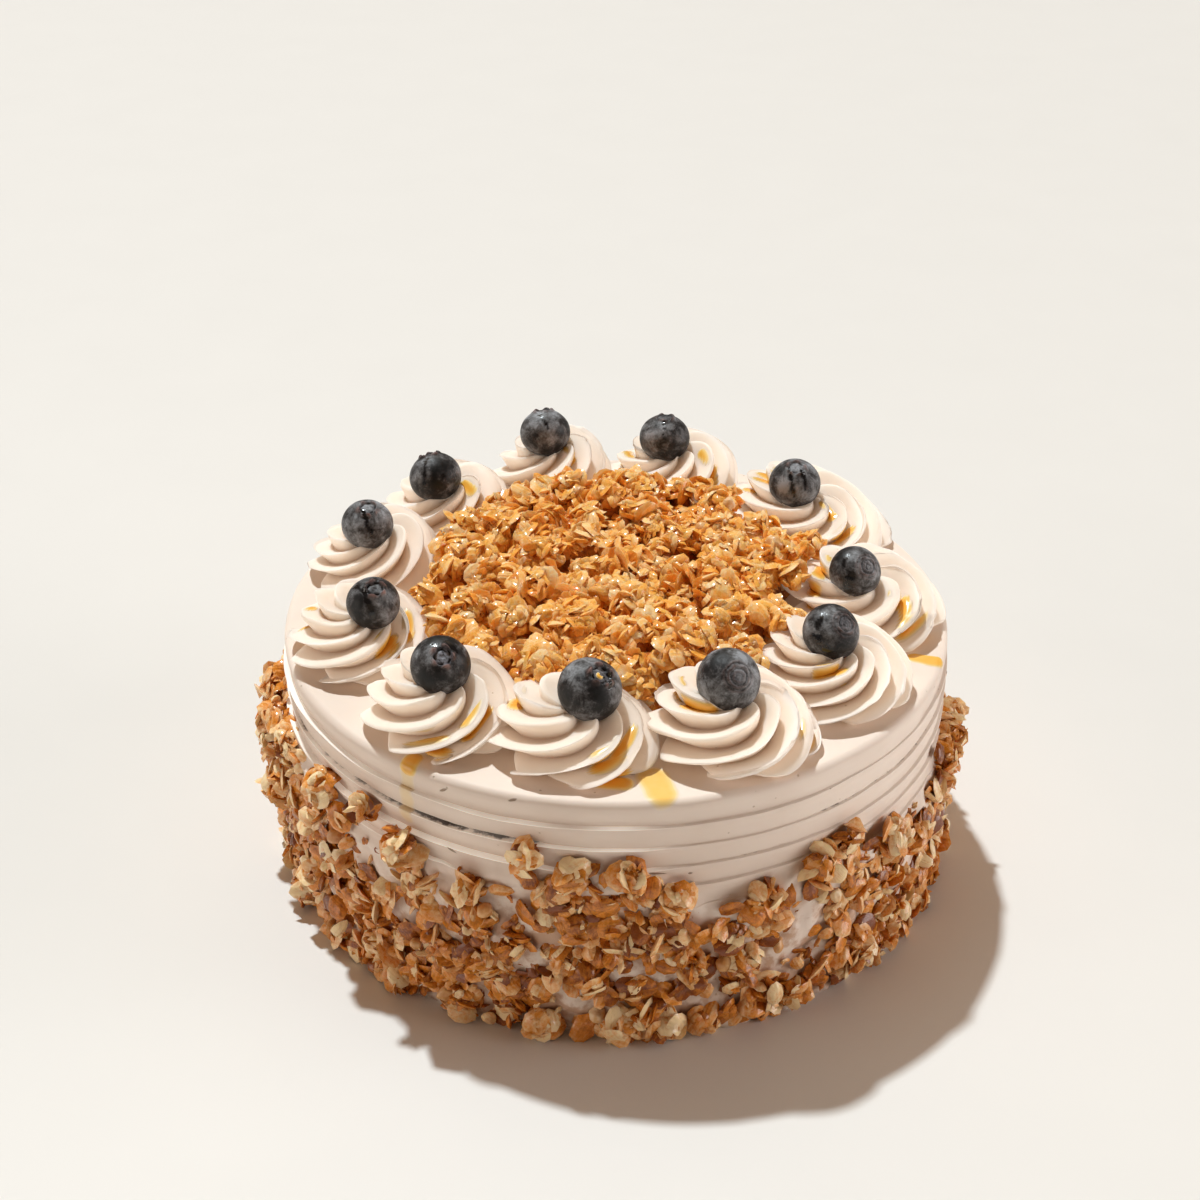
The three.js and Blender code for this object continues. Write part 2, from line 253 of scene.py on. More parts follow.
cakeShape = {
    "radius": 93, "height": 74, "rounding": 2.0, "sides": 560,
    "ledges": (7.4, 13.8, 20.2, 26.2, 32.2), "proud": 0.75, "inset": 0.55,
    "topRings": (*np.arange(89, 46, -1.4), 38, 28, 18, 8),  # radii of the rows on the top
    # the crust's height at every 15 degrees from +X by way of +Y
    "crustTops": (53, 55, 52, 45, 49, 57, 50, 47, 56, 52, 48, 55,
                  59, 57, 53, 49, 51, 56, 60, 45, 50, 46, 44, 47),
    # the split ledges: from and to in degrees, which ledge, and how much
    "cracks": ((-176, -122, 1, 0.6), (-132, -101, 1, 0.95), (-62, -18, 1, 0.5), (-79, -62, 2, 0.4)),
    "paintedLipRange": (-185, -78),  # from and to in degrees, where the ledges' lips get a painted highlight and a painted glow
    # small scratches and pits: degrees, height, half the length, half the width, lean in degrees
    "nicks": ((-116.5, 53.1, 1.8, 0.5, -25), (-84.4, 52.9, 3.2, 0.3, -8), (-78.9, 51.5, 0.7, 0.5, 0),
              (-117.8, 70.4, 1.6, 0.4, 35), (-106.2, 72.6, 1.2, 0.35, 20)),
}


def crustTop(angle):
    tops = np.array(cakeShape["crustTops"], float)
    place = np.mod(angle / (2 * np.pi), 1) * len(tops)
    before = np.floor(place).astype(int) % len(tops)
    share = place - np.floor(place)
    share = share * share * (3 - 2 * share)
    return tops[before] * (1 - share) + tops[(before + 1) % len(tops)] * share


def onWall(angle, height, out=cakeShape["radius"]):
    return np.stack([out * np.cos(angle), out * np.sin(angle), height + 0 * angle], axis=-1)


def crackDepth(angle, ledge):
    # how far a ledge is split there, 0 to 1, ragged along its length
    degrees = np.degrees(np.arctan2(np.sin(angle), np.cos(angle)))
    depth = 0
    for start, end, which, much in cakeShape["cracks"]:
        if which == ledge:
            here = soft(degrees, start, start + 8) * (1 - soft(degrees, end - 2, end))
            depth = np.maximum(depth, much * here)
    around = onWall(angle, 0 * angle)
    ragged = 0.8 + 0.25 * lumps(around, 5, 61) + 0.3 * lumps(around, 2.5, 62)
    return depth * np.clip(ragged, 0.5, 1.1)


def wallRows():
    # rows of the wall from the foot up: heights, how far out, how split and how much painted highlight and
    # glow a lip gets, round the cake
    sides, count = cakeShape["sides"], len(cakeShape["ledges"])
    angle = np.arange(sides) / sides * 2 * np.pi
    around = onWall(angle, 0 * angle)
    rows = []
    sag = [0.35 * lumps(around, 24, 31 + i) + 0.12 * lumps(around, 6, 41 + i) for i in range(count)]
    heights = [cakeShape["height"] - depth + sag[i] for i, depth in enumerate(cakeShape["ledges"])]
    lowest = heights[-1]
    degrees = np.degrees(np.arctan2(np.sin(angle), np.cos(angle)))
    first, last = cakeShape["paintedLipRange"]
    turned = np.where(degrees > 90, degrees - 360, degrees)
    lit = soft(turned, first - 15, first) * (1 - soft(turned, last - 12, last))
    strength = [np.clip(0.95 + 0.5 * lumps(around, 30, 51 + i), 0.4, 1.3) * (0.6 + 0.4 * lit)
                for i in range(count)]
    for share in np.linspace(0, 0.985, 24):
        lean = cakeShape["proud"] * strength[-1] * soft(np.array(share), 0.6, 1.0)
        rows.append((lowest * share, lean, 0 * angle, 0 * angle))
    for i in reversed(range(count)):
        here = heights[i]
        above = heights[i - 1] if i else cakeShape["height"] - cakeShape["rounding"] + 0 * angle
        proud, inset = cakeShape["proud"] * strength[i], cakeShape["inset"] * strength[i]
        split = crackDepth(angle, i)
        # the lips on that stretch of the wall get a painted highlight and a painted glow
        lip = lit * np.clip(0.75 + 0.6 * lumps(around, 12, 71 + i), 0, 1)
        rows.append((here - 0.5 - 0.05 * split, proud - 0.1, 0 * angle, 0 * angle))
        rows.append((here - 0.25 - 0.05 * split, proud + 0.1 * lit, 0 * angle, lip))
        rows.append((here - 0.03 - 0.1 * split, proud - 0.1, 0.35 * split, lip * (1 - 0.7 * split)))
        rows.append((here - 0.08 * split, -inset - 1.8 * split, split, lip * (1 - split.clip(0, 1))))
        rows.append((here + 0.12 + 0.25 * split, -inset - 1.8 * split, split, 0 * angle))
        rows.append((here + 0.22 + 0.5 * split, -inset + 0.05, 0 * angle, 0 * angle))
        nextProud = cakeShape["proud"] * strength[i - 1] if i else 0 * angle
        for share in (0.1, 0.35, 0.6, 0.8, 0.94):
            lean = -inset + (nextProud + inset) * soft(np.array(share), 0.2, 1.0)
            rise = 0.22 + 0.5 * split + (above - here - 0.65 - 0.5 * split) * share
            rows.append((here + rise, lean, 0 * angle, 0 * angle))
    return angle, rows


def makeBody():
    angle, rows = wallRows()
    radius, height, rounding = cakeShape["radius"], cakeShape["height"], cakeShape["rounding"]
    rings, splits, paintedLipLights = [], [], []
    for rise, out, split, lip in rows:
        wall = onWall(angle, rise)
        under = soft(crustTop(angle) - 1.5 - rise, 0, 5)  # the rough cream that holds the oats
        rough = 1.3 + 1.5 * lumps(wall, 5.5, 3) + 0.7 * lumps(wall, 2.2, 4)
        gentle = 0.22 * lumps(wall, 14, 1) + 0.06 * lumps(wall * (1, 1, 4), 5, 2)
        out = (out + gentle) * (1 - under) + np.clip(rough, 0, 3.2) * under
        rings.append(onWall(angle, rise, radius + out))
        splits.append(split)
        paintedLipLights.append(lip * (1 - under))
    for turn in np.linspace(0, 90, 9):
        out = radius - rounding * (1 - math.cos(math.radians(turn)))
        rise = height - rounding * (1 - math.sin(math.radians(turn)))
        wall = onWall(angle, 0 * angle + rise)
        rings.append(onWall(angle, rise + 0.12 * lumps(wall, 9, 5), out + 0.2 * lumps(wall, 14, 1)))
        splits.append(0 * angle)
    for out in cakeShape["topRings"]:
        wall = onWall(angle, 0 * angle + height, out)
        smear = 0.22 * lumps(wall, 16, 7) + 0.07 * lumps(wall, 4.5, 8)
        rings.append(onWall(angle, height + smear, out))
        splits.append(0 * angle)
    grid = np.array(rings)
    grid[0, :, 2] = 0
    points, faces = closedRings(grid)
    split = np.concatenate([np.array(splits).ravel(), [0, 0]])
    lip = np.zeros(len(points))
    lip[:len(paintedLipLights) * cakeShape["sides"]] = np.array(paintedLipLights).ravel()
    wall = np.hypot(points[:, 0], points[:, 1])
    top = crustTop(np.arctan2(points[:, 1], points[:, 0]))
    stained = soft(top - 5 - points[:, 2], 0, 18) * (wall > radius - 8)
    return points, faces, {"split": split, "stained": stained, "lip": lip}


frosting = Finish("frosting", {
    "Roughness": 0.5, "Specular IOR Level": 0.25, "Emission Strength": 0.3,
    "Subsurface Weight": 0.1, "Subsurface Radius": (1.0, 0.7, 0.5), "Subsurface Scale": 0.002,
})
spot = frosting.place()
wallRadius = cakeShape["radius"] * mm
x, y, z = frosting.axes(spot)
around = frosting.node("ShaderNodeMath", {"operation": "ARCTAN2"}, {0: y, 1: x}) * wallRadius
combed = frosting.grain(frosting.vector(around * 0.12, z * 2.2, 0.0), 5, 3.0)
mottle = frosting.grain(spot, 26, 3.0)
pits = frosting.cells(spot, 5.5)
shadedPits = 1 - pits.between(0.035, 0.075)
cream = frosting.blend(mottle.between(0.35, 0.7), (0.815, 0.69, 0.595), (0.86, 0.74, 0.645))
# painted shade: the pits are painted darker
cream = frosting.blend(shadedPits * 0.55, cream, (0.45, 0.33, 0.22))
# painted highlight: the lips are painted paler
cream = frosting.blend(frosting.mark("lip") * 0.9, cream, (0.97, 0.93, 0.88))
torn = frosting.grain(spot, 1.8, 3.0, 0.6)
nicked = 0.0
for at, rise, length, width, lean in cakeShape["nicks"]:
    along, across = around - math.radians(at) * wallRadius, z - rise * mm
    cosine, sine = math.cos(math.radians(lean)), math.sin(math.radians(lean))
    first = (along * cosine + across * sine) / (length * mm)
    second = (across * cosine - along * sine) / (width * mm)
    away = (first * first + second * second) ** 0.5 + (torn - 0.5) * 0.9
    nicked = nicked + (1 - away.between(0.6, 1.1))
cream = frosting.blend(nicked.atMost(1.0) * 0.75, cream, (0.20, 0.12, 0.06))
# painted shade: the splits in the ledges are painted near black
crackShade = (frosting.mark("split") * torn.between(0.35, 0.65, 0.75, 1.3)).between(0.22, 0.6)
cream = frosting.blend(crackShade, cream, (0.045, 0.017, 0.006))
syrup = frosting.grain(spot, 6, 4.0, 0.6).between(0.42, 0.6) * frosting.mark("stained")
frosting.feed("Base Color", frosting.blend(syrup * 0.6, cream, (0.40, 0.16, 0.035)))
# painted glow: an emission on the lips stands in for light falling on them
frosting.feed("Emission Color", frosting.blend(frosting.mark("lip"), (0.0, 0.0, 0.0), (1.0, 0.86, 0.72)))
frosting.feed("Roughness", 0.55 - syrup * 0.2 + crackShade * 0.4)
relief = combed * 0.5 + frosting.grain(spot, 2.5, 2.0) * 0.15 - shadedPits * 0.6 - nicked * 0.8
frosting.feed("Normal", frosting.relief(relief, 0.22))

bodyPoints, bodyFaces, bodyMarks = makeBody()
body = makePiece("frosted_body", bodyPoints, bodyFaces, frosting, bodyMarks)
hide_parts("cake")
print("frosted body:", len(bodyFaces), "faces")


rosettes = [  # at deg, out mm, radius, height, fins, turn, stretch, high side in deg; then its berry
    {"at": -161, "out": 73, "radius": 18.5, "height": 14.5, "fins": 8, "turn": 10,
     "stretch": 1.02, "high": 115,
     "berry": {"size": 14.4, "up": 17.0, "dx": 4.0, "dy": -2.6, "tilt": 23, "lean": -68}},
    {"at": -128, "out": 73, "radius": 19.5, "height": 15.0, "fins": 8, "turn": 35,
     "stretch": 1.02, "high": 110,
     "berry": {"size": 15.4, "up": 17.0, "dx": 0.0, "dy": 0.5, "tilt": 39, "lean": -76}},
    {"at": -99, "out": 70, "radius": 18.5, "height": 14.5, "fins": 7, "turn": 5,
     "stretch": 1.12, "high": 120,
     "berry": {"size": 16.4, "up": 17.0, "dx": 3.9, "dy": 1.0, "tilt": 32, "lean": -42}},
    {"at": -66, "out": 72, "radius": 21.0, "height": 15.5, "fins": 8, "turn": 20,
     "stretch": 1.0, "high": 130,
     "berry": {"size": 16.2, "up": 18.0, "dx": -1.7, "dy": 0.4, "tilt": 52, "lean": -68}},
    {"at": -36, "out": 71, "radius": 20.0, "height": 15.0, "fins": 9, "turn": 0,
     "stretch": 1.03, "high": 130,
     "berry": {"size": 15.2, "up": 17.0, "dx": -1.8, "dy": 0.5, "tilt": 45, "lean": -47}},
    {"at": -5, "out": 69, "radius": 21.5, "height": 15.0, "fins": 7, "turn": 25,
     "stretch": 1.0, "high": 115,
     "berry": {"size": 14.4, "up": 16.5, "dx": -3.2, "dy": -3.0, "tilt": 50, "lean": -56}},
    {"at": 38, "out": 73, "radius": 20.5, "height": 14.0, "fins": 8, "turn": 15,
     "stretch": 1.25, "high": 110,
     "berry": {"size": 15.4, "up": 16.0, "dx": -4.0, "dy": -0.4, "tilt": 18, "lean": -90}},
    {"at": 76, "out": 73, "radius": 20.5, "height": 15.5, "fins": 8, "turn": 40,
     "stretch": 1.02, "high": 40,
     "berry": {"size": 15.6, "up": 18.0, "dx": -2.2, "dy": 0.5, "tilt": 6, "lean": 90}},
    {"at": 106, "out": 75, "radius": 18.5, "height": 16.0, "fins": 7, "turn": 30,
     "stretch": 1.0, "high": 20,
     "berry": {"size": 15.6, "up": 19.5, "dx": -0.8, "dy": 0.0, "tilt": 20, "lean": 110}},
    {"at": 136, "out": 71, "radius": 19.0, "height": 15.0, "fins": 7, "turn": 12,
     "stretch": 1.0, "high": 30,
     "berry": {"size": 15.6, "up": 17.5, "dx": -2.6, "dy": -3.2, "tilt": 24, "lean": 130}},
    {"at": 163.5, "out": 73, "radius": 18.5, "height": 14.5, "fins": 8, "turn": 28,
     "stretch": 1.02, "high": 40,
     "berry": {"size": 14.8, "up": 17.0, "dx": -1.0, "dy": -3.4, "tilt": 16, "lean": -70}},
]
piping = {
    # crests from the foot's rim to the middle of the top, as in the solid: out, up, valleys' depth, turn
    "rings": ((0.80, 0.0, 0.14, 0), (1.0, 0.18, 0.32, 6), (0.99, 0.44, 0.34, 34), (0.88, 0.72, 0.31, 70),
              (0.68, 0.93, 0.25, 106), (0.44, 1.0, 0.16, 140), (0.0, 0.86, 0.0, 175)),
    "rows": 58, "strength": (0.88, 1.06), "spacing": 0.22, "seed": 29,
    "lessInwards": 0.5, "downwards": 0.8, "highSide": 0.24, "lean": 0.14,
}
finSteps = np.array([0, .012, .035, .07, .11, .16, .21, .255, .285, .32,
                     .37, .44, .52, .60, .68, .76, .84, .91, .96, .988])


def finHeight(along):
    # one fin's section: 1 at its sharp crest, the bulging steep side, then the hollow slope to the next
    foot = 0.3  # where the steep side ends, as a share of the fin
    steep = 1 - np.clip(along / foot, 0, 1) ** 1.5
    slope = np.clip((along - foot) / (1 - foot), 0, 1) ** 1.25
    return np.where(along < foot, steep, slope)


def drawFrom(seed):
    # the same numbers as the solid's own
    while True:
        seed = (seed * 1664525 + 1013904223) % 2 ** 32
        yield seed / 2 ** 32


def curveThrough(stops, share):
    # a smooth curve through rows of numbers, share running from 0 to 1
    stops = np.array(stops, float)
    place = np.clip(share, 0, 1) * (len(stops) - 1)
    here = np.minimum(np.floor(place).astype(int), len(stops) - 2)
    part = (place - here)[:, None]
    before, after = stops[np.maximum(here - 1, 0)], stops[np.minimum(here + 2, len(stops) - 1)]
    first, second = stops[here], stops[here + 1]
    slopeIn, slopeOut = (second - before) / 2, (after - first) / 2
    return ((2 * part ** 3 - 3 * part ** 2 + 1) * first + (part ** 3 - 2 * part ** 2 + part) * slopeIn
            + (3 * part ** 2 - 2 * part ** 3) * second + (part ** 3 - part ** 2) * slopeOut)


def rosetteFoot(rosette):
    angle, out = math.radians(rosette["at"]), rosette["out"]
    return np.array([out * math.cos(angle), out * math.sin(angle), cakeShape["height"]])


def berryMiddle(rosette):
    berry = rosette["berry"]
    return rosetteFoot(rosette) + np.array([berry["dx"], berry["dy"], berry["up"]])


def makeRosette(rosette, strength, spacing, seed):
    share = np.linspace(0, 0.985, piping["rows"])
    out, up, valley, turned = [column[:, None] for column in curveThrough(piping["rings"], share).T]
    fins = rosette["fins"]
    fin = np.repeat(np.arange(fins), len(finSteps))
    along = np.tile(finSteps, fins)
    height = finHeight(along)[None, :]
    # a crest waves along its length, and each tip reaches a little further or less far
    path = np.broadcast_arrays(fin[None, :] * 7.0, share[:, None] * 30, 0.0 * along[None, :])
    path = np.stack(path, axis=-1)
    wave = lumps(path, 6, seed)
    force = np.array(strength)[fin][None, :] * (1 + 0.14 * wave)
    place = (fin + along + 0.08)[None, :] / fins + np.array(spacing)[fin][None, :] / fins
    place = place + piping["lean"] * height ** 4 * np.sin(np.pi * np.clip(up, 0, 1)) ** 0.7 / fins
    direction = place * 2 * np.pi + np.radians(rosette["turn"] + turned + 6 * lumps(path, 9, seed + 1))
    drop = valley * (1 - height * force) * rosette["radius"]
    tip = 1 + (0.09 * lumps(path * (1, 0, 1), 5, seed + 2) + 0.06 * height ** 6) * (1 - soft(up, 0.15, 0.6))
    radius = np.maximum(out * rosette["radius"] * tip - drop * (1 - piping["lessInwards"] * up), 0)
    raised = 1 + piping["highSide"] * out * np.cos(direction - math.radians(rosette["high"]))
    rise = up * rosette["height"] * raised - piping["downwards"] * drop * up
    points = onWall(direction, rise, radius)
    lengthwise = math.radians(rosette["at"] + 90)
    edge = np.array([math.cos(lengthwise), math.sin(lengthwise), 0])
    points = points + ((points @ edge) * (rosette["stretch"] - 1))[..., None] * edge
    torn = lumps(points, 2.2, seed + 4) * soft(lumps(points, 9, seed + 5), -0.1, 0.4) * height ** 4
    push = 0.18 * lumps(points, 5, seed + 3) + 0.45 * torn
    points = points + push[..., None] * unit(points * (1, 1, 0.6))
    points[..., 2] = np.maximum(points[..., 2], 0.02)
    grid = points + rosetteFoot(rosette)
    # the berry pressed its own hollow into the cream
    middle, berryRadius = berryMiddle(rosette), rosette["berry"]["size"] / 2
    away = grid - middle
    apart = np.linalg.norm(away, axis=-1, keepdims=True)
    grid = np.where(apart < berryRadius, middle + away / apart * berryRadius, grid)
    made, faces = closedRings(grid)
    crest = np.concatenate([np.broadcast_to(height, grid.shape[:2]).ravel(), [0, 0]])
    return made, faces, {"crest": crest}


pipedCream = Finish("piped_cream", {
    "Roughness": 0.5, "Specular IOR Level": 0.25, "Emission Strength": 0.13,
    "Subsurface Weight": 0.7, "Subsurface Radius": (1.0, 0.93, 0.86), "Subsurface Scale": 0.0045,
})
spot = pipedCream.place()
mottle = pipedCream.grain(spot, 18, 3.0)
shadedHoles = 1 - pipedCream.cells(spot, 4.2).between(0.045, 0.085)
shadedHoles = shadedHoles * pipedCream.grain(spot, 12).between(0.5, 0.62)
cream = pipedCream.blend(mottle.between(0.35, 0.7), (0.81, 0.69, 0.585), (0.85, 0.735, 0.635))
# painted shade: the valleys between the fins are painted darker
valleyShade = pipedCream.mark("crest").between(0.0, 0.3, 0.3, 0.0)
cream = pipedCream.blend(valleyShade, cream, (0.70, 0.54, 0.39))
# painted shade: the small holes are painted darker
pipedCream.feed("Base Color", pipedCream.blend(shadedHoles * 0.6, cream, (0.45, 0.33, 0.22)))
# painted glow: the emission, strongest towards the crests, stands in for light coming through the thin fins
glow = pipedCream.mark("crest").between(0.0, 0.8)
pipedCream.feed("Emission Color", pipedCream.blend(glow, (0.12, 0.08, 0.055), (1.0, 0.80, 0.62)))
relief = pipedCream.grain(spot, 3.0, 3.0) * 0.35 - shadedHoles * 0.8
pipedCream.feed("Normal", pipedCream.relief(relief, 0.2))

draw = drawFrom(piping["seed"])
rosettePieces = []
for number, rosette in enumerate(rosettes, 1):
    weakest, strongest = piping["strength"]
    strength = [weakest + (strongest - weakest) * next(draw) for fin in range(rosette["fins"])]
    spacing = [piping["spacing"] * (next(draw) - 0.5) for fin in range(rosette["fins"])]
    points, faces, marks = makeRosette(rosette, strength, spacing, 100 + 10 * number)
    piece = makePiece(f"piped_rosette_{number:02d}", points, faces, pipedCream, marks)
    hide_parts(f"rosette_{number:02d}")
    rosettePieces.append((points, marks))
print("rosettes:", len(rosettes))


berryShape = {"columns": 64, "skinRows": 28, "crownRows": 34, "crownEdge": 0.7, "squash": 0.92}
# per berry: how much crown it shows, whether it has worn rings instead, and its wet streaks, each from one
# place to another on its disc as the camera sees it (right, up), with a width
berryLooks = [
    {"crown": 1.0, "rings": 0, "pale": 0.1, "bloom": 0.35, "streaks": [
        ((-0.69, 0.65), (-0.3, 0.45), 0.13), ((-0.3, 0.6), (-0.12, 0.08), 0.13),
        ((-0.12, 0.08), (0.1, -0.45), 0.19)]},
    {"crown": 0.9, "rings": 0, "pale": 1.0, "bloom": 0.2, "streaks": [
        ((0.3, 0.8), (0.62, 0.47), 0.11), ((-0.25, 0.72), (-0.12, 0.7), 0.09)]},
    {"crown": 1.0, "rings": 0, "pale": 0.4, "bloom": 0.5, "streaks": [
        ((0.64, 0.52), (0.82, 0.0), 0.07), ((0.5, 0.42), (0.64, 0.12), 0.06)]},
    {"crown": 0.15, "rings": 0.8, "pale": 0.3, "bloom": 0.9, "streaks": []},
    {"crown": 0.25, "rings": 0.7, "pale": 0.3, "bloom": 0.4, "streaks": [
        ((-0.32, 0.66), (-0.6, 0.0), 0.15), ((-0.6, -0.1), (-0.1, -0.7), 0.27)]},
    {"crown": 0.2, "rings": 0.9, "pale": 0.3, "bloom": 0.8, "streaks": [
        ((-0.32, 0.66), (-0.6, 0.36), 0.1), ((-0.6, 0.36), (-0.3, -0.12), 0.13),
        ((-0.3, -0.12), (-0.3, -0.75), 0.24)]},
    {"crown": 0.6, "rings": 0, "pale": 0.3, "bloom": 0.8, "streaks": [
        ((-0.28, 0.66), (-0.26, 0.2), 0.07), ((-0.26, 0.2), (-0.02, -0.65), 0.12),
        ((0.22, 0.5), (0.35, -0.25), 0.12)]},
    {"crown": 0.5, "rings": 0, "pale": 0.2, "bloom": 0.6, "streaks": [((-0.05, 0.6), (0.0, -0.9), 0.06)]},
    {"crown": 0.6, "rings": 0, "pale": 0.2, "bloom": 0.7, "streaks": [((-0.2, 0.65), (0.15, 0.1), 0.08)]},
    {"crown": 0.7, "rings": 0, "pale": 0.2, "bloom": 0.5, "streaks": [
        ((-0.25, 0.66), (-0.3, -0.4), 0.14), ((0.3, 0.5), (0.35, -0.1), 0.1)]},
    {"crown": 0.7, "rings": 0, "pale": 0.3, "bloom": 1.0, "streaks": [((-0.1, 0.6), (0.25, -0.5), 0.1)]},
]


def towardsViewer(right, up):
    # the direction from a berry's middle to a place on its disc, as seen from the camera
    pitch = math.radians(cameraView["pitchDown"])
    ahead = math.sqrt(max(0, 1 - right * right - up * up))
    sine, cosine = math.sin(pitch), math.cos(pitch)
    return np.array([right, up * sine - ahead * cosine, up * cosine + ahead * sine])


def arcDistance(directions, start, end):
    # how far directions are from the arc between two of them, in radii
    path = np.array([unit(start * (1 - t) + end * t) for t in np.linspace(0, 1, 9)])
    return np.min(np.linalg.norm(directions[:, None, :] - path[None, :, :], axis=-1), axis=1)


def makeBerry(rosette, look, seed):
    berry = rosette["berry"]
    radius = berry["size"] / 2
    turn = np.arange(berryShape["columns"]) / berryShape["columns"] * 2 * np.pi
    edge = berryShape["crownEdge"]
    polar = np.concatenate([np.linspace(math.pi - 0.02, edge, berryShape["skinRows"], endpoint=False),
                            np.linspace(edge, 0.02, berryShape["crownRows"])])[:, None]
    flat = np.sin(polar)
    up = np.cos(polar) * berryShape["squash"]
    direction = np.stack([flat * np.cos(turn), flat * np.sin(turn), np.cos(polar) + 0 * turn], axis=-1)
    out = flat + 0 * turn
    up = up + 0 * turn
    top = polar < math.pi / 2
    # a ragged crown of five lobes round a shallow pit, or the worn rings that are left of one
    torn = lumps(direction * 10, 1.1, seed)
    lobes = 0.5 + 0.6 * np.cos(5 * turn + seed)[None, :] + 0.55 * torn
    lobe = np.exp(-((out - 0.36 - 0.05 * torn) / 0.07) ** 2) * np.clip(lobes, 0, 1.1)
    cut = np.exp(-((out - 0.28 - 0.03 * torn) / 0.035) ** 2) * np.clip(1.2 - 0.8 * lobes, 0.25, 1)
    pit = soft(-out, -0.33, -0.24) * 0.07 + 0.05 * np.exp(-(out / 0.07) ** 2)
    worn = np.clip(0.55 + 0.9 * lumps(direction * 10, 2.0, seed + 9), 0, 1)
    groove = worn * sum(np.exp(-((out - at - 0.03 * torn) / 0.02) ** 2) for at in (0.10, 0.26, 0.42))
    ridge = sum(np.exp(-((out - at - 0.03 * torn) / 0.03) ** 2) for at in (0.18, 0.34, 0.48))
    up = up + top * look["crown"] * (0.13 * lobe - 0.07 * cut - pit)
    up = up + top * look["rings"] * (0.014 * ridge - 0.022 * groove)
    up = up - (polar > math.pi / 2) * 0.05 * soft(-out, -0.2, -0.05)
    points = np.stack([out * np.cos(turn), out * np.sin(turn), up], axis=-1)
    uneven = 0.012 * lumps(direction * 10, 7, seed + 1) + 0.004 * lumps(direction * 10, 1.6, seed + 2)
    points = points * (1 + uneven)[..., None]
    lean = math.radians(berry["lean"])
    tip = Matrix.Rotation(math.radians(berry["tilt"]), 3, (-math.sin(lean), math.cos(lean), 0))
    world = points @ np.array(tip).T
    made, faces = closedRings(world)
    heading = unit(made)
    wet = np.zeros(len(made))
    for start, end, width in look["streaks"]:
        distance = arcDistance(heading, towardsViewer(*start), towardsViewer(*end))
        distance = distance + 0.07 * lumps(made * 10, 2.2, seed + 5)
        distance = distance + 0.03 * lumps(made * 10, 0.8, seed + 6)
        wet = np.maximum(wet, 1 - soft(distance, width * 0.55, width))
    made = made * (1 - 0.012 * wet)[:, None]
    crown, rings = top * look["crown"], top * look["rings"]
    lobe = np.concatenate([(lobe * crown + 0.25 * ridge * rings).ravel(), [0, 0]])
    cut = np.concatenate([(cut * crown + 0.6 * groove * rings).ravel(), [0, 0]])
    pale = np.concatenate([(look["pale"] * top * soft(-out, -0.4, -0.2)).ravel(), [0, look["pale"]]])
    bloom = np.full(len(made), look["bloom"])
    marks = {"wet": wet, "lobe": lobe, "cut": cut, "pale": pale, "bloom": bloom}
    return made * radius + berryMiddle(rosette), faces, marks


berrySkin = Finish("berry_skin", {"Roughness": 0.5, "Coat Roughness": 0.06, "Specular IOR Level": 0.3})
spot = berrySkin.place()
wet = berrySkin.mark("wet")
bloom = berrySkin.grain(spot, 3.4, 5.0, 0.66, 0.5)
patches = berrySkin.grain(spot, 8.0, 3.0, 0.6)
scuffs = berrySkin.grain(spot, 0.6, 3.0, 0.6)
dusted = berrySkin.mark("bloom")
skin = berrySkin.ramp(bloom * 1.2 + patches * 1.5 + scuffs * 0.4 + dusted * 0.22 - 1.22, [
    (0.18, (0.004, 0.004, 0.004)), (0.34, (0.016, 0.014, 0.014)), (0.50, (0.075, 0.072, 0.073)),
    (0.66, (0.17, 0.173, 0.18)), (0.85, (0.30, 0.31, 0.33)),
])
skin = berrySkin.blend(berrySkin.mark("pale") * scuffs.between(0.3, 0.6) * 0.85, skin, (0.25, 0.25, 0.28))
lobes = (berrySkin.mark("lobe") * bloom.between(0.35, 0.55, 0.2, 1.0)).atMost(0.85)
skin = berrySkin.blend(lobes, skin, (0.24, 0.14, 0.125))
# painted shade: the crown's cuts and the rings' grooves are painted near black
skin = berrySkin.blend(berrySkin.mark("cut").atMost(0.9), skin, (0.006, 0.005, 0.006))
berrySkin.feed("Base Color", berrySkin.blend(wet, skin, (0.006, 0.006, 0.007)))
berrySkin.feed("Roughness", berrySkin.grain(spot, 2.0).between(0.3, 0.7, 0.42, 0.62) - wet * 0.3)
berrySkin.feed("Coat Weight", wet * 0.4)
berrySkin.feed("Normal", berrySkin.relief(bloom * 0.4 + scuffs * 0.3, 0.12))

berryPoints = []
for number, (rosette, look) in enumerate(zip(rosettes, berryLooks), 1):
    points, faces, marks = makeBerry(rosette, look, 300 + 10 * number)
    piece = makePiece(f"berry_{number:02d}", points, faces, berrySkin, marks)
    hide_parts(f"blueberry_{number:02d}")
    berryPoints.append(points)
print("blueberries:", len(berryLooks))


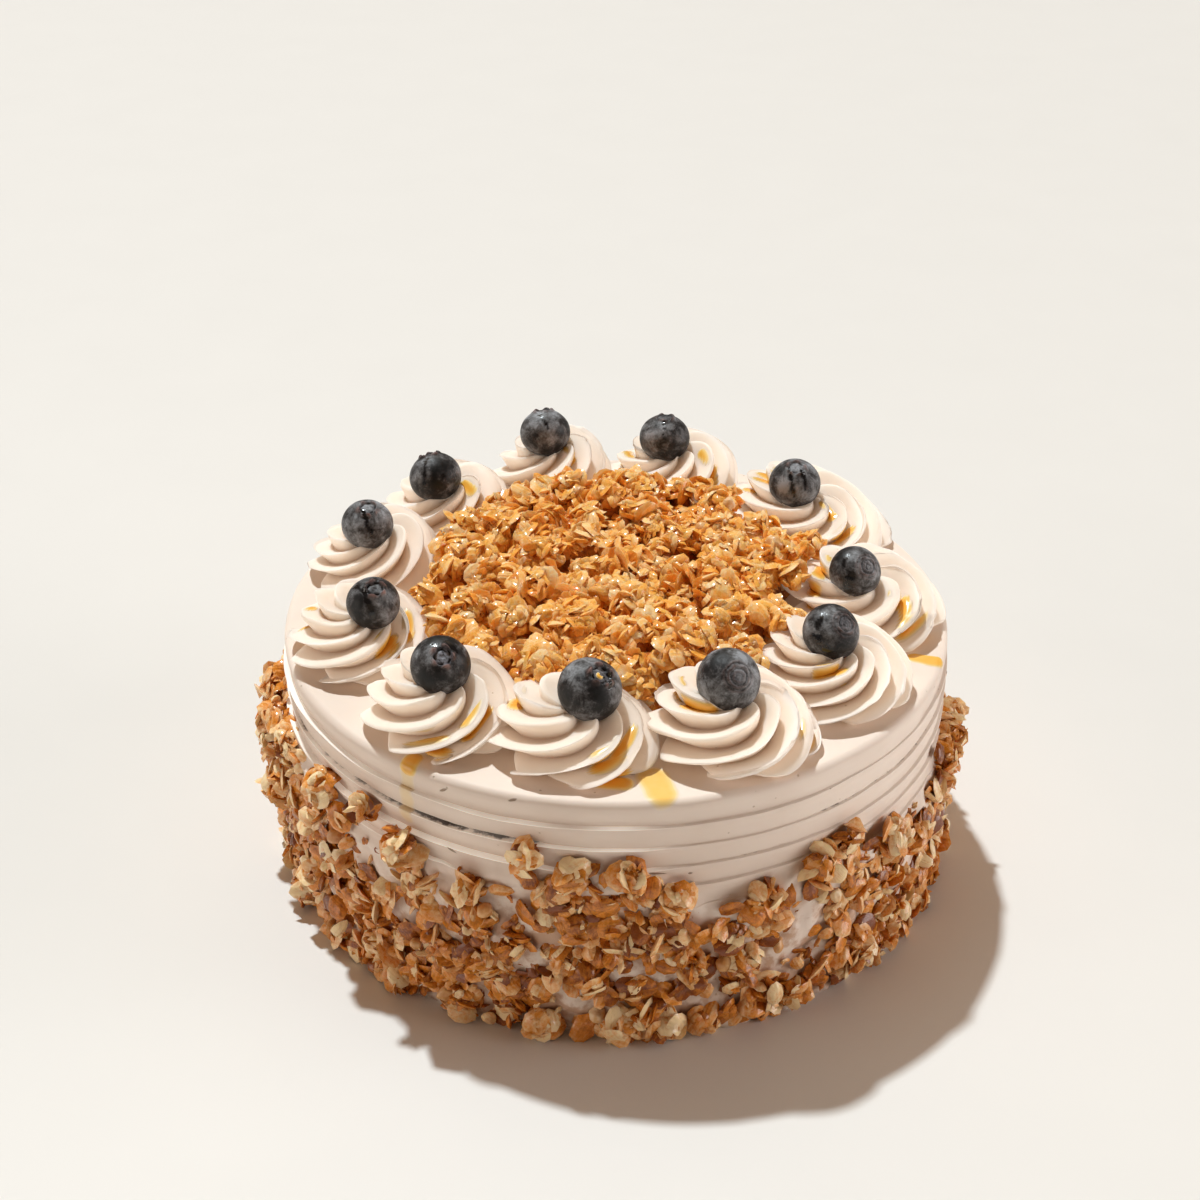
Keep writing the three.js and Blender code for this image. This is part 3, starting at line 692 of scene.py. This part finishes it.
sauce = {
    "thick": 0.5, "sunk": 0.1, "ragged": 0.35,
    # in a rosette's valleys: from and to, each as (degrees round its middle, mm out), and half the width
    "runs": {
        1: [((172, 18.5), (163, 14.5), 1.3), ((-62, 12.9), (-41, 11.5), 1.7),
            ((8, 12.5), (-18, 13.9), 1.5), ((-54, 16.5), (-46, 14.5), 1.2)],
        2: [((-112, 19.0), (-88, 17.5), 2.4), ((-62, 15.0), (-30, 13.8), 1.2)],
        3: [((150, 17.0), (166, 15.0), 2.3), ((-45, 15.3), (-19, 15.7), 1.5),
            ((-66, 16.0), (-50, 18.5), 2.4)],
        4: [((150, 15.8), (169, 13.2), 1.1), ((-167, 12.7), (-138, 8.1), 1.8),
            ((-12, 19.2), (-20, 19.6), 2.7)],
        5: [((-120, 11.4), (-88, 9.8), 1.4)],
        6: [((-167, 14.5), (145, 13.0), 2.0), ((-47, 10.2), (-34, 12.5), 1.4),
            ((-34, 12.5), (-54, 17.1), 1.4), ((-60, 19.0), (-30, 19.5), 1.8)],
        7: [((128, 20.0), (120, 16.0), 2.2), ((150, 19.6), (137, 14.0), 1.6),
            ((-49, 7.3), (-56, 11.9), 1.4), ((-69, 19.0), (-47, 17.4), 1.4)],
        8: [((-23, 10.1), (-37, 15.2), 1.4), ((-27, 14.2), (-43, 16.8), 1.3),
            ((148, 16.4), (165, 13.0), 1.4)],
        9: [((-8, 5.0), (-41, 10.0), 1.3)],
        10: [((-12, 6.0), (-35, 11.0), 1.3)],
    },
    # on the top and down the side: from and to in mm, half the width, how much
    "pools": [
        ((8.6, -82.0, 74), (10.6, -88.6, 74), 4.2, 0.6),
        ((-4.4, -83.7, 74), (1.3, -84.8, 74), 2.6, 1.0),
        ((80.9, -27.1, 74), (86.2, -29.0, 74), 2.4, 0.9),
        ((-51.0, -74.0, 74), (-52.4, -76.2, 73.2), 2.4, 0.9),
        ((-52.4, -76.2, 73.5), (-53.8, -75.9, 57.0), 2.4, 0.2),
    ],
    # a drop in a berry's crown: which berry, where on its disc (right, up), its half width
    "drop": {"berry": 3, "at": (0.36, 0.52), "wide": 1.7},
}


def nearRun(points, start, end, wide, seed):
    # 1 on a run of sauce, 0 past its ragged edge
    start, end = np.array(start, float), np.array(end, float)
    along = np.clip((points - start) @ (end - start) / max((end - start) @ (end - start), 1e-6), 0, 1)
    away = np.linalg.norm(points - start - along[..., None] * (end - start), axis=-1)
    away = away + sauce["ragged"] * lumps(points, 3.0, seed) * (away < 3 * wide)
    return 1 - soft(away, wide * 0.5, wide * 1.25)


def finer(grid):
    # a ring grid with twice the rows and columns
    rows = np.repeat(grid, 2, axis=0)[:-1]
    rows[1::2] = (grid[:-1] + grid[1:]) / 2
    both = np.repeat(rows, 2, axis=1)
    both[:, 1::2] = (rows + np.roll(rows, -1, axis=1)) / 2
    return both


def pour(grid, depth):
    # a thin closed skin over the part of a ring grid that holds sauce, sunk a little at its edges
    around = np.roll(grid, -1, axis=1) - np.roll(grid, 1, axis=1)
    outwards = unit(np.cross(around, np.gradient(grid, axis=0))).reshape(-1, 3)
    quads = ringFaces(*depth.shape)
    quads = quads[depth.ravel()[quads].max(axis=1) > 0]
    used, quads = np.unique(quads, return_inverse=True)
    quads = quads.reshape(-1, 4)
    amount = depth.ravel()[used]
    skin = grid.reshape(-1, 3)[used]
    top = skin + outwards[used] * (sauce["thick"] * amount ** 0.6 - sauce["sunk"])[:, None]
    under = skin - outwards[used] * 2 * sauce["sunk"]
    edges = np.vstack([quads[:, [side, (side + 1) % 4]] for side in range(4)])
    mirrored = {(b, a) for a, b in edges.tolist()}
    rim = [(a, b) for a, b in edges.tolist() if (a, b) not in mirrored]
    low = len(used)
    faces = quads.tolist() + (quads[:, ::-1] + low).tolist() + [[b, a, a + low, b + low] for a, b in rim]
    return np.vstack([top, under]), faces, np.concatenate([amount, amount])


poured = []
for number, runs in sauce["runs"].items():
    points, marks = rosettePieces[number - 1]
    columns = rosettes[number - 1]["fins"] * len(finSteps)
    grid = points[:-2].reshape(-1, columns, 3)
    crest = marks["crest"][:-2].reshape(-1, columns)
    flat = (grid - rosetteFoot(rosettes[number - 1])) * (1, 1, 0)
    depth = np.zeros(crest.shape)
    for (turn, out), (endTurn, endOut), wide in runs:
        start, end = onWall(math.radians(turn), 0, out), onWall(math.radians(endTurn), 0, endOut)
        depth = np.maximum(depth, nearRun(flat, start, end, wide, 80 + number))
    poured.append(pour(grid, depth * (1 - soft(crest, 0.5, 0.95))))
grid = finer(bodyPoints[:-2].reshape(-1, cakeShape["sides"], 3))
wet = np.zeros(grid.shape[:2])
for start, end, wide, amount in sauce["pools"]:
    wet = np.maximum(wet, amount * nearRun(grid, start, end, wide, 92))
poured.append(pour(grid, wet))
drop = sauce["drop"]
dropRosette = rosettes[drop["berry"] - 1]
middle = berryMiddle(dropRosette) + towardsViewer(*drop["at"]) * dropRosette["berry"]["size"] / 2
grid = berryPoints[drop["berry"] - 1][:-2].reshape(-1, berryShape["columns"], 3)
away = np.linalg.norm(grid - middle, axis=-1)
poured.append(pour(grid, 1 - soft(away, drop["wide"] * 0.8, drop["wide"])))

offsets = np.cumsum([0] + [len(points) for points, faces, amount in poured])
sauceFinish = Finish("caramel_sauce", {
    "Coat Roughness": 0.05, "Specular IOR Level": 0.3,
    "Subsurface Weight": 0.1, "Subsurface Radius": (1.0, 0.7, 0.5), "Subsurface Scale": 0.002,
})
amount = sauceFinish.mark("amount")
cloudy = sauceFinish.grain(sauceFinish.place(), 2.5, 3.0)
sauceFinish.feed("Base Color", sauceFinish.ramp(amount + (cloudy - 0.5) * 0.25 * amount, [
    (0.06, (0.86, 0.74, 0.63)), (0.35, (0.92, 0.66, 0.28)), (0.65, (0.94, 0.56, 0.13)),
    (1.0, (0.90, 0.44, 0.06)),
]))
sauceFinish.feed("Roughness", amount.between(0.1, 0.5, 0.5, 0.14))
sauceFinish.feed("Coat Weight", amount.between(0.15, 0.6, 0.0, 0.4))
sauceFaces = [[corner + offset for corner in face]
              for (points, faces, amount), offset in zip(poured, offsets) for face in faces]
makePiece(
    "caramel_sauce", np.vstack([points for points, faces, amount in poured]), sauceFaces, sauceFinish,
    {"amount": np.concatenate([amount for points, faces, amount in poured])})
print("sauce:", len(sauceFaces), "faces")


# sizes in mm of a whole rolled oat, and of a broken chip of one; how far they tip and which edges stay
# sharp, in degrees
flakeShape = {"sides": 9, "long": 8.4, "wide": 6.6, "thick": 1.9, "ragged": 0.06, "tip": 50, "crease": 75}
chipShape = {"sides": 6, "long": 4.6, "wide": 3.2, "thick": 1.2, "ragged": 0.12, "tip": 70, "crease": 40}


def makeFlakes(places, outwards, tilts, sizes, shadedTones, random, shape):
    # one mesh of rolled oats: bent, lens-shaped chips, each laid at its place and tipped from its outward
    count, sides = len(places), shape["sides"]
    spin = np.arange(sides) / sides * 2 * np.pi
    ring = lambda reach: np.stack([reach * np.cos(spin), reach * np.sin(spin)], axis=-1)
    flat = np.vstack([[[0, 0]], ring(0.72), ring(1.0), [[0, 0]]])
    reach = np.hypot(flat[:, 0], flat[:, 1])
    face = np.concatenate([[1], np.full(sides, 0.85), np.full(sides, -0.1), [-1]])
    rim = 1 + shape["ragged"] * random.standard_normal((count, sides)).clip(-1.8, 1.2)
    rim = np.concatenate([np.ones((count, 1)), 0.4 + 0.6 * rim, rim, np.ones((count, 1))], axis=1)
    long = sizes * shape["long"] / 2
    wide = sizes * shape["wide"] / 2 * random.uniform(0.75, 1.1, count)
    x = flat[:, 0] * rim * long[:, None]
    y = flat[:, 1] * rim * wide[:, None]
    fold = random.normal(0, 0.05, count)[:, None]
    curl = random.normal(0, 0.018, count)[:, None]
    twist = random.normal(0, 0.018, count)[:, None]
    z = face * shape["thick"] / 2 * (0.7 + 0.6 * random.random((count, 1)))
    z = z + fold * np.abs(y) + curl * x * x + twist * x * y
    z = z + 0.09 * random.standard_normal(x.shape) * (reach > 0)
    z = z - 0.3 * (np.abs(flat[:, 1]) < 0.01) * (face > 0)  # the groove along the grain
    side = random.standard_normal((count, 3))
    side = unit(side - np.sum(side * outwards, axis=1, keepdims=True) * outwards)
    normal = unit(outwards * np.cos(tilts)[:, None] + side * np.sin(tilts)[:, None])
    grain = random.standard_normal((count, 3))
    grain = unit(grain - np.sum(grain * normal, axis=1, keepdims=True) * normal)
    across = np.cross(normal, grain)
    points = (places[:, None, :] + x[..., None] * grain[:, None, :] + y[..., None] * across[:, None, :]
              + z[..., None] * normal[:, None, :])
    here = np.arange(sides)
    after = (here + 1) % sides
    inner, outer, last = 1, 1 + sides, 1 + 2 * sides
    faces = [np.stack([0 * here, inner + here, inner + after], axis=1)]
    faces.append(np.stack([inner + here, outer + here, outer + after], axis=1))
    faces.append(np.stack([inner + here, outer + after, inner + after], axis=1))
    faces.append(np.stack([outer + here, last + 0 * here, outer + after], axis=1))
    faces = np.vstack(faces)
    faces = (faces[None, :, :] + np.arange(count)[:, None, None] * len(flat)).reshape(-1, 3)
    marks = {"rim": np.tile(reach, count), "tone": np.repeat(shadedTones, len(flat)),
             "across": np.tile(flat[:, 1], count)}
    return points.reshape(-1, 3), faces, marks, len(flat)


def onClumps(centres, outwards, sizes, count, random, spread=0.75, least=0.6, loose=0.45):
    # places, directions and tones of flakes on rounded clumps; the inner ones get darker tones, painted
    # shade where light reaches less
    which = random.choice(len(centres), count, p=sizes ** 2 / np.sum(sizes ** 2))
    heading = unit(outwards[which] + spread * random.standard_normal((count, 3)))
    inwards = np.minimum(np.sum(heading * outwards[which], axis=1), 0)
    heading = unit(heading - 2 * inwards[:, None] * outwards[which])
    reach = random.random(count)
    places = centres[which] + heading * (sizes[which] * (least + (1 - least) * reach))[:, None]
    shadedTones = 0.65 * reach + 0.35 * random.random(count)
    return places, unit(heading + loose * random.standard_normal((count, 3))), shadedTones


def oatFinish(name, dark, middle, light, varied, wet, glow):
    oats = Finish(name, {
        "Coat Weight": wet, "Coat Roughness": 0.14, "Specular IOR Level": 0.2,
        "Subsurface Weight": glow, "Subsurface Radius": (1.0, 0.6, 0.35), "Subsurface Scale": 0.0025,
    })
    spot = oats.place()
    grain = oats.grain(spot, 2.6, 5.0, 0.62)
    streaks = oats.grain(spot, 0.8, 3.0, 0.6, 0.6)
    # the fine lines along each flake
    lines = oats.grain(oats.vector(oats.mark("across") * 0.003, oats.mark("tone") * 0.05, 0.0), 0.9, 2.0)
    tone = (oats.mark("tone") - 0.5) * varied + grain * 0.6 + streaks * 0.3 + lines * 0.3
    # painted highlight: the flakes' rims are lifted a little, as if they caught the light
    tone = tone + oats.mark("rim") * 0.06
    skin = oats.ramp(tone, [(0.36, dark), (0.64, middle), (0.94, light)])
    oats.feed("Base Color", skin)
    oats.feed("Roughness", oats.grain(spot, 1.8).between(0.35, 0.65, 0.3, 0.6))
    oats.feed("Normal", oats.relief(grain * 0.4 + streaks * 0.4 + lines * 0.7, 0.5))
    return oats


heapOats = oatFinish(
    "caramel_oats", (0.66, 0.16, 0.004), (1.0, 0.46, 0.085), (1.0, 0.76, 0.44),
    varied=0.38, wet=0.5, glow=0.25)
crustOats = oatFinish(
    "crust_oats", (0.22, 0.048, 0.001), (0.77, 0.262, 0.025), (1.0, 0.74, 0.42),
    varied=0.85, wet=0.6, glow=0.15)

caramel = Finish("caramel", {"Coat Weight": 0.25, "Coat Roughness": 0.25, "Specular IOR Level": 0.25})
spot = caramel.place()
lumpy = caramel.grain(spot, 2.4, 4.0, 0.6)
caramel.feed("Base Color", caramel.ramp(lumpy, [
    (0.30, (0.24, 0.050, 0.003)), (0.55, (0.52, 0.17, 0.018)), (0.8, (0.82, 0.38, 0.07)),
]))
caramel.feed("Roughness", lumpy.between(0.3, 0.7, 0.3, 0.6))
caramel.feed("Normal", caramel.relief(caramel.cells(spot, 2.6) + lumpy, 1.0))

puffed = Finish("puffed_grain", {
    "Coat Weight": 0.3, "Coat Roughness": 0.2,
    "Subsurface Weight": 0.2, "Subsurface Radius": (1.0, 0.7, 0.4), "Subsurface Scale": 0.002,
})
spot = puffed.place()
glaze = puffed.grain(spot, 3.0, 4.0, 0.6) + puffed.mark("tone") * 0.3
puffed.feed("Base Color", puffed.ramp(glaze, [
    (0.45, (0.58, 0.26, 0.07)), (0.65, (0.74, 0.43, 0.18)), (0.85, (0.86, 0.66, 0.42)),
]))
puffed.feed("Roughness", glaze.between(0.4, 0.8, 0.3, 0.6))
puffed.feed("Normal", puffed.relief(puffed.grain(spot, 1.2, 3.0), 0.3))


def makePuffs(places, sizes, random, seed):
    # pale puffed grains and nut pieces: knobbly lumps
    ball = bmesh.new()
    bmesh.ops.create_icosphere(ball, subdivisions=3, radius=1)
    base = np.array([vertex.co[:] for vertex in ball.verts])
    faces = np.array([[vertex.index for vertex in face.verts] for face in ball.faces])
    ball.free()
    made = []
    for i, (place, size) in enumerate(zip(places, sizes)):
        squash = random.uniform(0.6, 1.1, 3)
        turn = random.uniform(0, 6.3)
        spin = np.array(Matrix.Rotation(turn, 3, Vector(random.standard_normal(3)).normalized()))
        knob = base * (1 + 0.22 * lumps(base * 4 + 50 * i, 2.4, seed))[:, None] * squash * size / 2
        made.append(knob @ spin.T + place)
    allFaces = (faces[None] + np.arange(len(places))[:, None, None] * len(base)).reshape(-1, 3)
    marks = {"tone": np.repeat(random.random(len(places)), len(base))}
    return np.vstack(made), allFaces, marks, len(base)


def settled(points, perPiece, floor=0.05):
    # lifts whole flakes that would reach below the cake's foot
    block = points.reshape(-1, perPiece, 3)
    lift = np.maximum(floor - block[..., 2].min(axis=1), 0)
    block[..., 2] += lift[:, None]
    return block.reshape(-1, 3)


def layFlakes(name, finish, places, headings, shadedTones, sizeRange, random, shape=flakeShape):
    # a piece of loose flakes, each tipped and sized by the draw
    tilts = np.radians(random.uniform(0, shape["tip"], len(places)))
    sizes = random.uniform(*sizeRange, len(places))
    points, faces, marks, perPiece = makeFlakes(places, headings, tilts, sizes, shadedTones, random, shape)
    return makePiece(
        name, settled(points, perPiece), faces, finish, marks, shape["crease"])


crust = {
    "seed": 5, "clumps": 560, "flakes": 4140, "layer": 1100, "chips": 4000, "puffs": 40, "highest": 62,
    "clumpSizes": (2.6, 7.6),  # radii
    "rooted": (0.5, 1.0),  # how much of a clump is sunk in the frosting
    "clustersOut": 1.3,  # how far outside the frosting the clusters' middles lie
    # the clusters that stand out from it: degrees, height, radius
    "clusters": ((-144, 52, 5.2), (-125, 49, 5.5), (-160, 49, 4.6), (-133, 56, 3.4), (-113, 44, 4.0),
                 (-104, 57, 3.4), (-97, 53, 4.6), (-88, 54, 3.8), (-81, 45, 3.8), (-67, 41, 4.2),
                 (-57, 45, 5.6), (-52, 50, 4.0), (-40, 40, 5.0), (-34, 34, 4.4), (-102, 4, 4.6),
                 (-90, 4, 4.8), (-83, 4, 4.4), (-115, 5, 4.4), (-61, 6, 4.6), (-111, 20, 4.4),
                 (-132, 12, 4.6), (-150, 16, 4.6), (-70, 22, 4.4), (-47, 8, 4.6), (-177, 49, 7.2),
                 (-169, 46, 7.8), (-173, 36, 8.0), (-183, 39, 7.2), (-164, 33, 7.0), (-171, 24, 7.2),
                 (-155, 7, 6.0), (-11, 44, 5.2), (-17, 41, 5.2), (-4, 42, 4.8)),
}


def crustPlaces(count, random, loosest, seed):
    # even places round the wall, fewer towards the ragged top, with gaps where the frosting shows
    index = np.arange(count * 2)
    angle = (index * goldenTurn + 0.03 * random.standard_normal(len(index))) % (2 * math.pi)
    height = random.random(len(index)) * crust["highest"]
    top = crustTop(angle) + 3.0 * lumps(onWall(angle, 0 * angle), 6, 23)
    keep = 1 - soft(height, top - loosest, top + 2)
    gaps = soft(lumps(onWall(angle, height), 10, seed), -0.45, -0.05) * 0.9 + 0.1
    chosen = np.flatnonzero(random.random(len(index)) < keep * gaps)[:count]
    return angle[chosen], np.maximum(height[chosen], 1.0)


def wallOutwards(angle, up=0.15):
    return unit(np.stack([np.cos(angle), np.sin(angle), up + 0 * angle], axis=-1))


random = np.random.default_rng(crust["seed"])
angle, height = crustPlaces(crust["clumps"], random, loosest=20, seed=24)
share = np.clip(height / crustTop(angle), 0, 1)
low, high = crust["clumpSizes"]
sizes = low + (high - low) * random.random(len(angle)) ** 1.5 * (1 - 0.4 * share)
out = cakeShape["radius"] + 1.6 - sizes * random.uniform(*crust["rooted"], len(angle)) + 1.6 * (1 - share)
bearing, level, wide = (np.repeat(column, 3) for column in np.array(crust["clusters"], float).T)
angle, height = np.append(angle, np.radians(bearing)), np.append(height, level)
sizes = np.append(sizes, wide)
out = np.append(out, cakeShape["radius"] + crust["clustersOut"] + 0 * wide)
centres, outwards = onWall(angle, height, out), wallOutwards(angle)

places, headings, shadedTones = onClumps(
    centres, outwards, sizes, crust["flakes"], random, spread=0.85, least=0.5)
angle, height = crustPlaces(crust["layer"], random, loosest=16, seed=24)
layer = onWall(angle, height, cakeShape["radius"] + random.uniform(0.8, 3.2, len(angle)))
# the flat layer under the clumps gets darker tones, painted shade
shadedTones = np.append(shadedTones, random.uniform(0.1, 0.65, len(layer)))
places, headings = np.vstack([places, layer]), np.vstack([headings, wallOutwards(angle)])
crustFlakes = layFlakes("crust_flakes", crustOats, places, headings, shadedTones, (0.6, 1.1), random)
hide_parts("cake")

angle, height = crustPlaces(crust["chips"] // 6, random, loosest=8, seed=25)
loose = onWall(angle, height, cakeShape["radius"] + random.uniform(0.6, 2.2, len(angle)))
places, headings, shadedTones = onClumps(
    centres, outwards, sizes, crust["chips"] - len(angle), random, spread=0.9, least=0.7)
shadedTones = np.append(shadedTones, random.uniform(0.2, 0.8, len(loose)))
places, headings = np.vstack([places, loose]), np.vstack([headings, wallOutwards(angle)])
crustChips = layFlakes("crust_chips", crustOats, places, headings, shadedTones, (0.5, 1.2), random, chipShape)
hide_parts("cake")

angle, height = crustPlaces(crust["puffs"], random, loosest=10, seed=26)
out = cakeShape["radius"] + random.uniform(2.0, 4.2, len(angle))
points, faces, marks, perPiece = makePuffs(
    onWall(angle, height + 2, out), random.uniform(2.8, 5.4, len(angle)), random, seed=27)
crustPuffs = makePiece("crust_puffs", settled(points, perPiece), faces, puffed, marks)
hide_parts("cake")
print("crust:", crust["flakes"] + crust["layer"], "flakes")


heap = {
    "seed": 8, "radius": 57, "height": 13.5, "fall": 0.3, "sides": 220, "rows": 80, "flakedRows": (2, 70),
    "clumps": 210, "clumpSizes": (2.6, 7.0), "flakes": 2900, "coreFlakes": 900, "chips": 2300, "puffs": 14,
    # the clusters that stand out from it: x, y, radius
    "clusters": ((10, 43, 6.5), (3, 46, 5.0), (46, 10, 6.0), (-13, 46, 5.0),
                 (-33, 22, 6.0), (-46, 10, 6.0)),
}


def heapTop(x, y):
    # the height of the heap over the frosting, without its clumps
    radius = np.hypot(x, y)
    level = heap["height"] * (1 - heap["fall"] * np.minimum(1, radius / heap["radius"]) ** 6)
    return level + 1.8 * soft(y, 5, 45) + 1.6 * lumps(np.stack([x, y, 0 * x], axis=-1), 13, 71)


def rosetteReach(rise):
    # how wide a rosette is at a height over the frosting, as a share of its own
    return np.interp(rise, (0.0, 0.2, 0.5, 0.82, 1.0, 1.3), (0.85, 1.0, 0.98, 0.8, 0.6, 0.3))


def clearOfRosettes(points, room):
    # whether points are that far from the nearest rosette's flank
    nearest = np.full(len(points), 99.0)
    for rosette in rosettes:
        foot = rosetteFoot(rosette)
        away = np.hypot(points[:, 0] - foot[0], points[:, 1] - foot[1])
        rise = (points[:, 2] - foot[2]) / rosette["height"]
        nearest = np.minimum(nearest, away - rosette["radius"] * rosetteReach(rise))
    return nearest > room


random = np.random.default_rng(heap["seed"])
index = np.arange(heap["clumps"])
angle = index * goldenTurn + 0.12 * random.standard_normal(len(index))
even = (heap["radius"] + 1) * np.sqrt((index + 0.5) / len(index))
radius = even + 1.6 * random.standard_normal(len(index))
x, y = radius * np.cos(angle), radius * np.sin(angle)
clumpSizes = random.uniform(*heap["clumpSizes"], len(index))
sunk = clumpSizes * random.uniform(0.25, 1.25, len(index)) + 1.2
clumps = np.stack([x, y, cakeShape["height"] + heapTop(x, y) - sunk + 1.4], axis=-1)
x, y, wide = np.array(heap["clusters"], float).T
rise = cakeShape["height"] + heapTop(x, y) + 1.5 - 0.5 * wide
clumps = np.vstack([clumps, np.stack([x, y, rise], axis=-1)])
clumpSizes = np.append(clumpSizes, wide)
clear = clearOfRosettes(clumps + (0, 0, 2), 0.4 * clumpSizes)
clumps, clumpSizes = clumps[clear], clumpSizes[clear]


def makeHeapCore():
    sides, rows = heap["sides"], heap["rows"]
    angle = np.arange(sides) / sides * 2 * np.pi
    reach = np.full(sides, float(heap["radius"]))
    for step in np.arange(heap["radius"], 30, -0.5):
        edge = onWall(angle, 0 * angle + cakeShape["height"] + 4, step)
        reach = np.where((reach >= step) & ~clearOfRosettes(edge, 1.2), step - 0.5, reach)
    share = np.linspace(1, 0.02, rows)[:, None]
    out = reach * share
    x, y = out * np.cos(angle), out * np.sin(angle)
    top = cakeShape["height"] + heapTop(x, y) - 5.0
    for (cx, cy, cz), size in zip(clumps, clumpSizes):
        inside = np.maximum((size - 0.6) ** 2 - (x - cx) ** 2 - (y - cy) ** 2, 0)
        top = np.where(inside > 0, np.maximum(top, cz + np.sqrt(inside) * 0.9 - 0.4), top)
    wall = soft(1 - share + 0 * top, 0, 0.14)
    top = cakeShape["height"] + (top - cakeShape["height"]) * wall
    grid = np.stack([x, y, np.maximum(top, cakeShape["height"] - 0.2)], axis=-1)
    return closedRings(grid)


points, faces = makeHeapCore()
heapCore = makePiece("heap_core", points, faces, caramel)
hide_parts("oat_heap")

upwards = np.tile([0.0, 0.0, 1.0], (len(clumps), 1))
places, headings, shadedTones = onClumps(
    clumps, upwards, clumpSizes, heap["flakes"], random, spread=0.85, least=0.6, loose=0.7)
clear = clearOfRosettes(places, room=1.3)
# and some straight on the core, most of them near its rim
firstRow, lastRow = heap["flakedRows"]
onCore = points[:-2].reshape(heap["rows"], -1, 3)[firstRow:lastRow].reshape(-1, 3)
nearRim = np.hypot(onCore[:, 0], onCore[:, 1]) ** 2
onCore = onCore[random.choice(len(onCore), heap["coreFlakes"], replace=False, p=nearRim / np.sum(nearRim))]
onCore = onCore[clearOfRosettes(onCore, room=0.8)]
places = np.vstack([places[clear], onCore + (0, 0, 0.7)])
headings = np.vstack([headings[clear], unit(onCore * (1, 1, 0)) * 0.4 + (0, 0, 0.9)])
shadedTones = np.append(shadedTones[clear], random.random(len(onCore)))
# the ones on the core are smaller
smallest, largest = np.repeat([[0.55, 0.5], [1.0, 0.8]], (np.sum(clear), len(onCore)), axis=1)
heapFlakes = layFlakes("heap_flakes", heapOats, places, headings, shadedTones, (smallest, largest), random)
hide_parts("oat_heap")

places, headings, shadedTones = onClumps(
    clumps, upwards, clumpSizes, heap["chips"], random, spread=1.0, least=0.75)
clear = clearOfRosettes(places, room=0.8)
places, headings, shadedTones = places[clear], headings[clear], shadedTones[clear]
heapChips = layFlakes("heap_chips", heapOats, places, headings, shadedTones, (0.5, 1.2), random, chipShape)
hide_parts("oat_heap")

places = onClumps(clumps, upwards, clumpSizes, heap["puffs"], random, spread=0.5, least=0.8)[0]
places = places[clearOfRosettes(places, room=2.6)]
puffSizes = random.uniform(3.0, 5.6, len(places))
points, faces, marks, perPiece = makePuffs(places, puffSizes, random, seed=28)
heapPuffs = makePiece("heap_puffs", points, faces, puffed, marks)
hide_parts("oat_heap")
print("heap:", heap["flakes"], "flakes on", len(clumps), "clumps")


floorFinish = Finish("floor", {"Roughness": 0.6})
grit = floorFinish.grain(floorFinish.place(), 40, 2.0)
floorFinish.feed("Base Color", floorFinish.blend(grit, (0.73, 0.705, 0.67), (0.75, 0.725, 0.69)))
floorMesh = bpy.data.meshes.new("floor")
floorMesh.from_pydata([(-3, -3, 0), (3, -3, 0), (3, 3, 0), (-3, 3, 0)], [], [(0, 1, 2, 3)])
floorMesh.materials.append(floorFinish.material)
floor = bpy.data.objects.new("floor", floorMesh)
bpy.context.scene.collection.objects.link(floor)

lights = {
    "key": {"azimuth": 118, "elevation": 63, "strength": 3.13, "spread": 2.5,
            "colour": (0.865, 0.957, 1.0)},
    "halo": {"azimuth": 100, "elevation": 60, "strength": 0.52, "spread": 60,
             "colour": (1.0, 0.76, 0.52)},
    "front": {"azimuth": -98, "elevation": 20, "strength": 0.06, "spread": 30,
              "colour": (1.0, 0.72, 0.5)},
    "right": {"azimuth": -4, "elevation": 5, "strength": 2.5, "spread": 45,
              "colour": (1.0, 0.96, 0.95)},
    "left": {"azimuth": 196, "elevation": 5, "strength": 1.15, "spread": 45,
             "colour": (1.0, 0.90, 0.82)},
}
for name, light in lights.items():
    lamp = bpy.data.objects.new(name, bpy.data.lights.new(name, "SUN"))
    lamp.data.energy = light["strength"]
    lamp.data.color = light["colour"]
    lamp.data.angle = math.radians(light["spread"])
    azimuth, elevation = math.radians(light["azimuth"]), math.radians(light["elevation"])
    level = math.cos(elevation)
    towards = Vector((math.cos(azimuth) * level, math.sin(azimuth) * level, math.sin(elevation)))
    lamp.rotation_euler = towards.to_track_quat("Z", "Y").to_euler()
    bpy.context.scene.collection.objects.link(lamp)

surroundings = {"colour": (1, 0.63, 0.37), "strength": 0.12}
world = bpy.data.worlds.new("studio")
world.use_nodes = True
background = world.node_tree.nodes["Background"]
background.inputs["Color"].default_value = (*surroundings["colour"], 1)
background.inputs["Strength"].default_value = surroundings["strength"]
bpy.context.scene.world = world
bpy.context.scene.view_settings.view_transform = "Standard"
print("floor and light set")
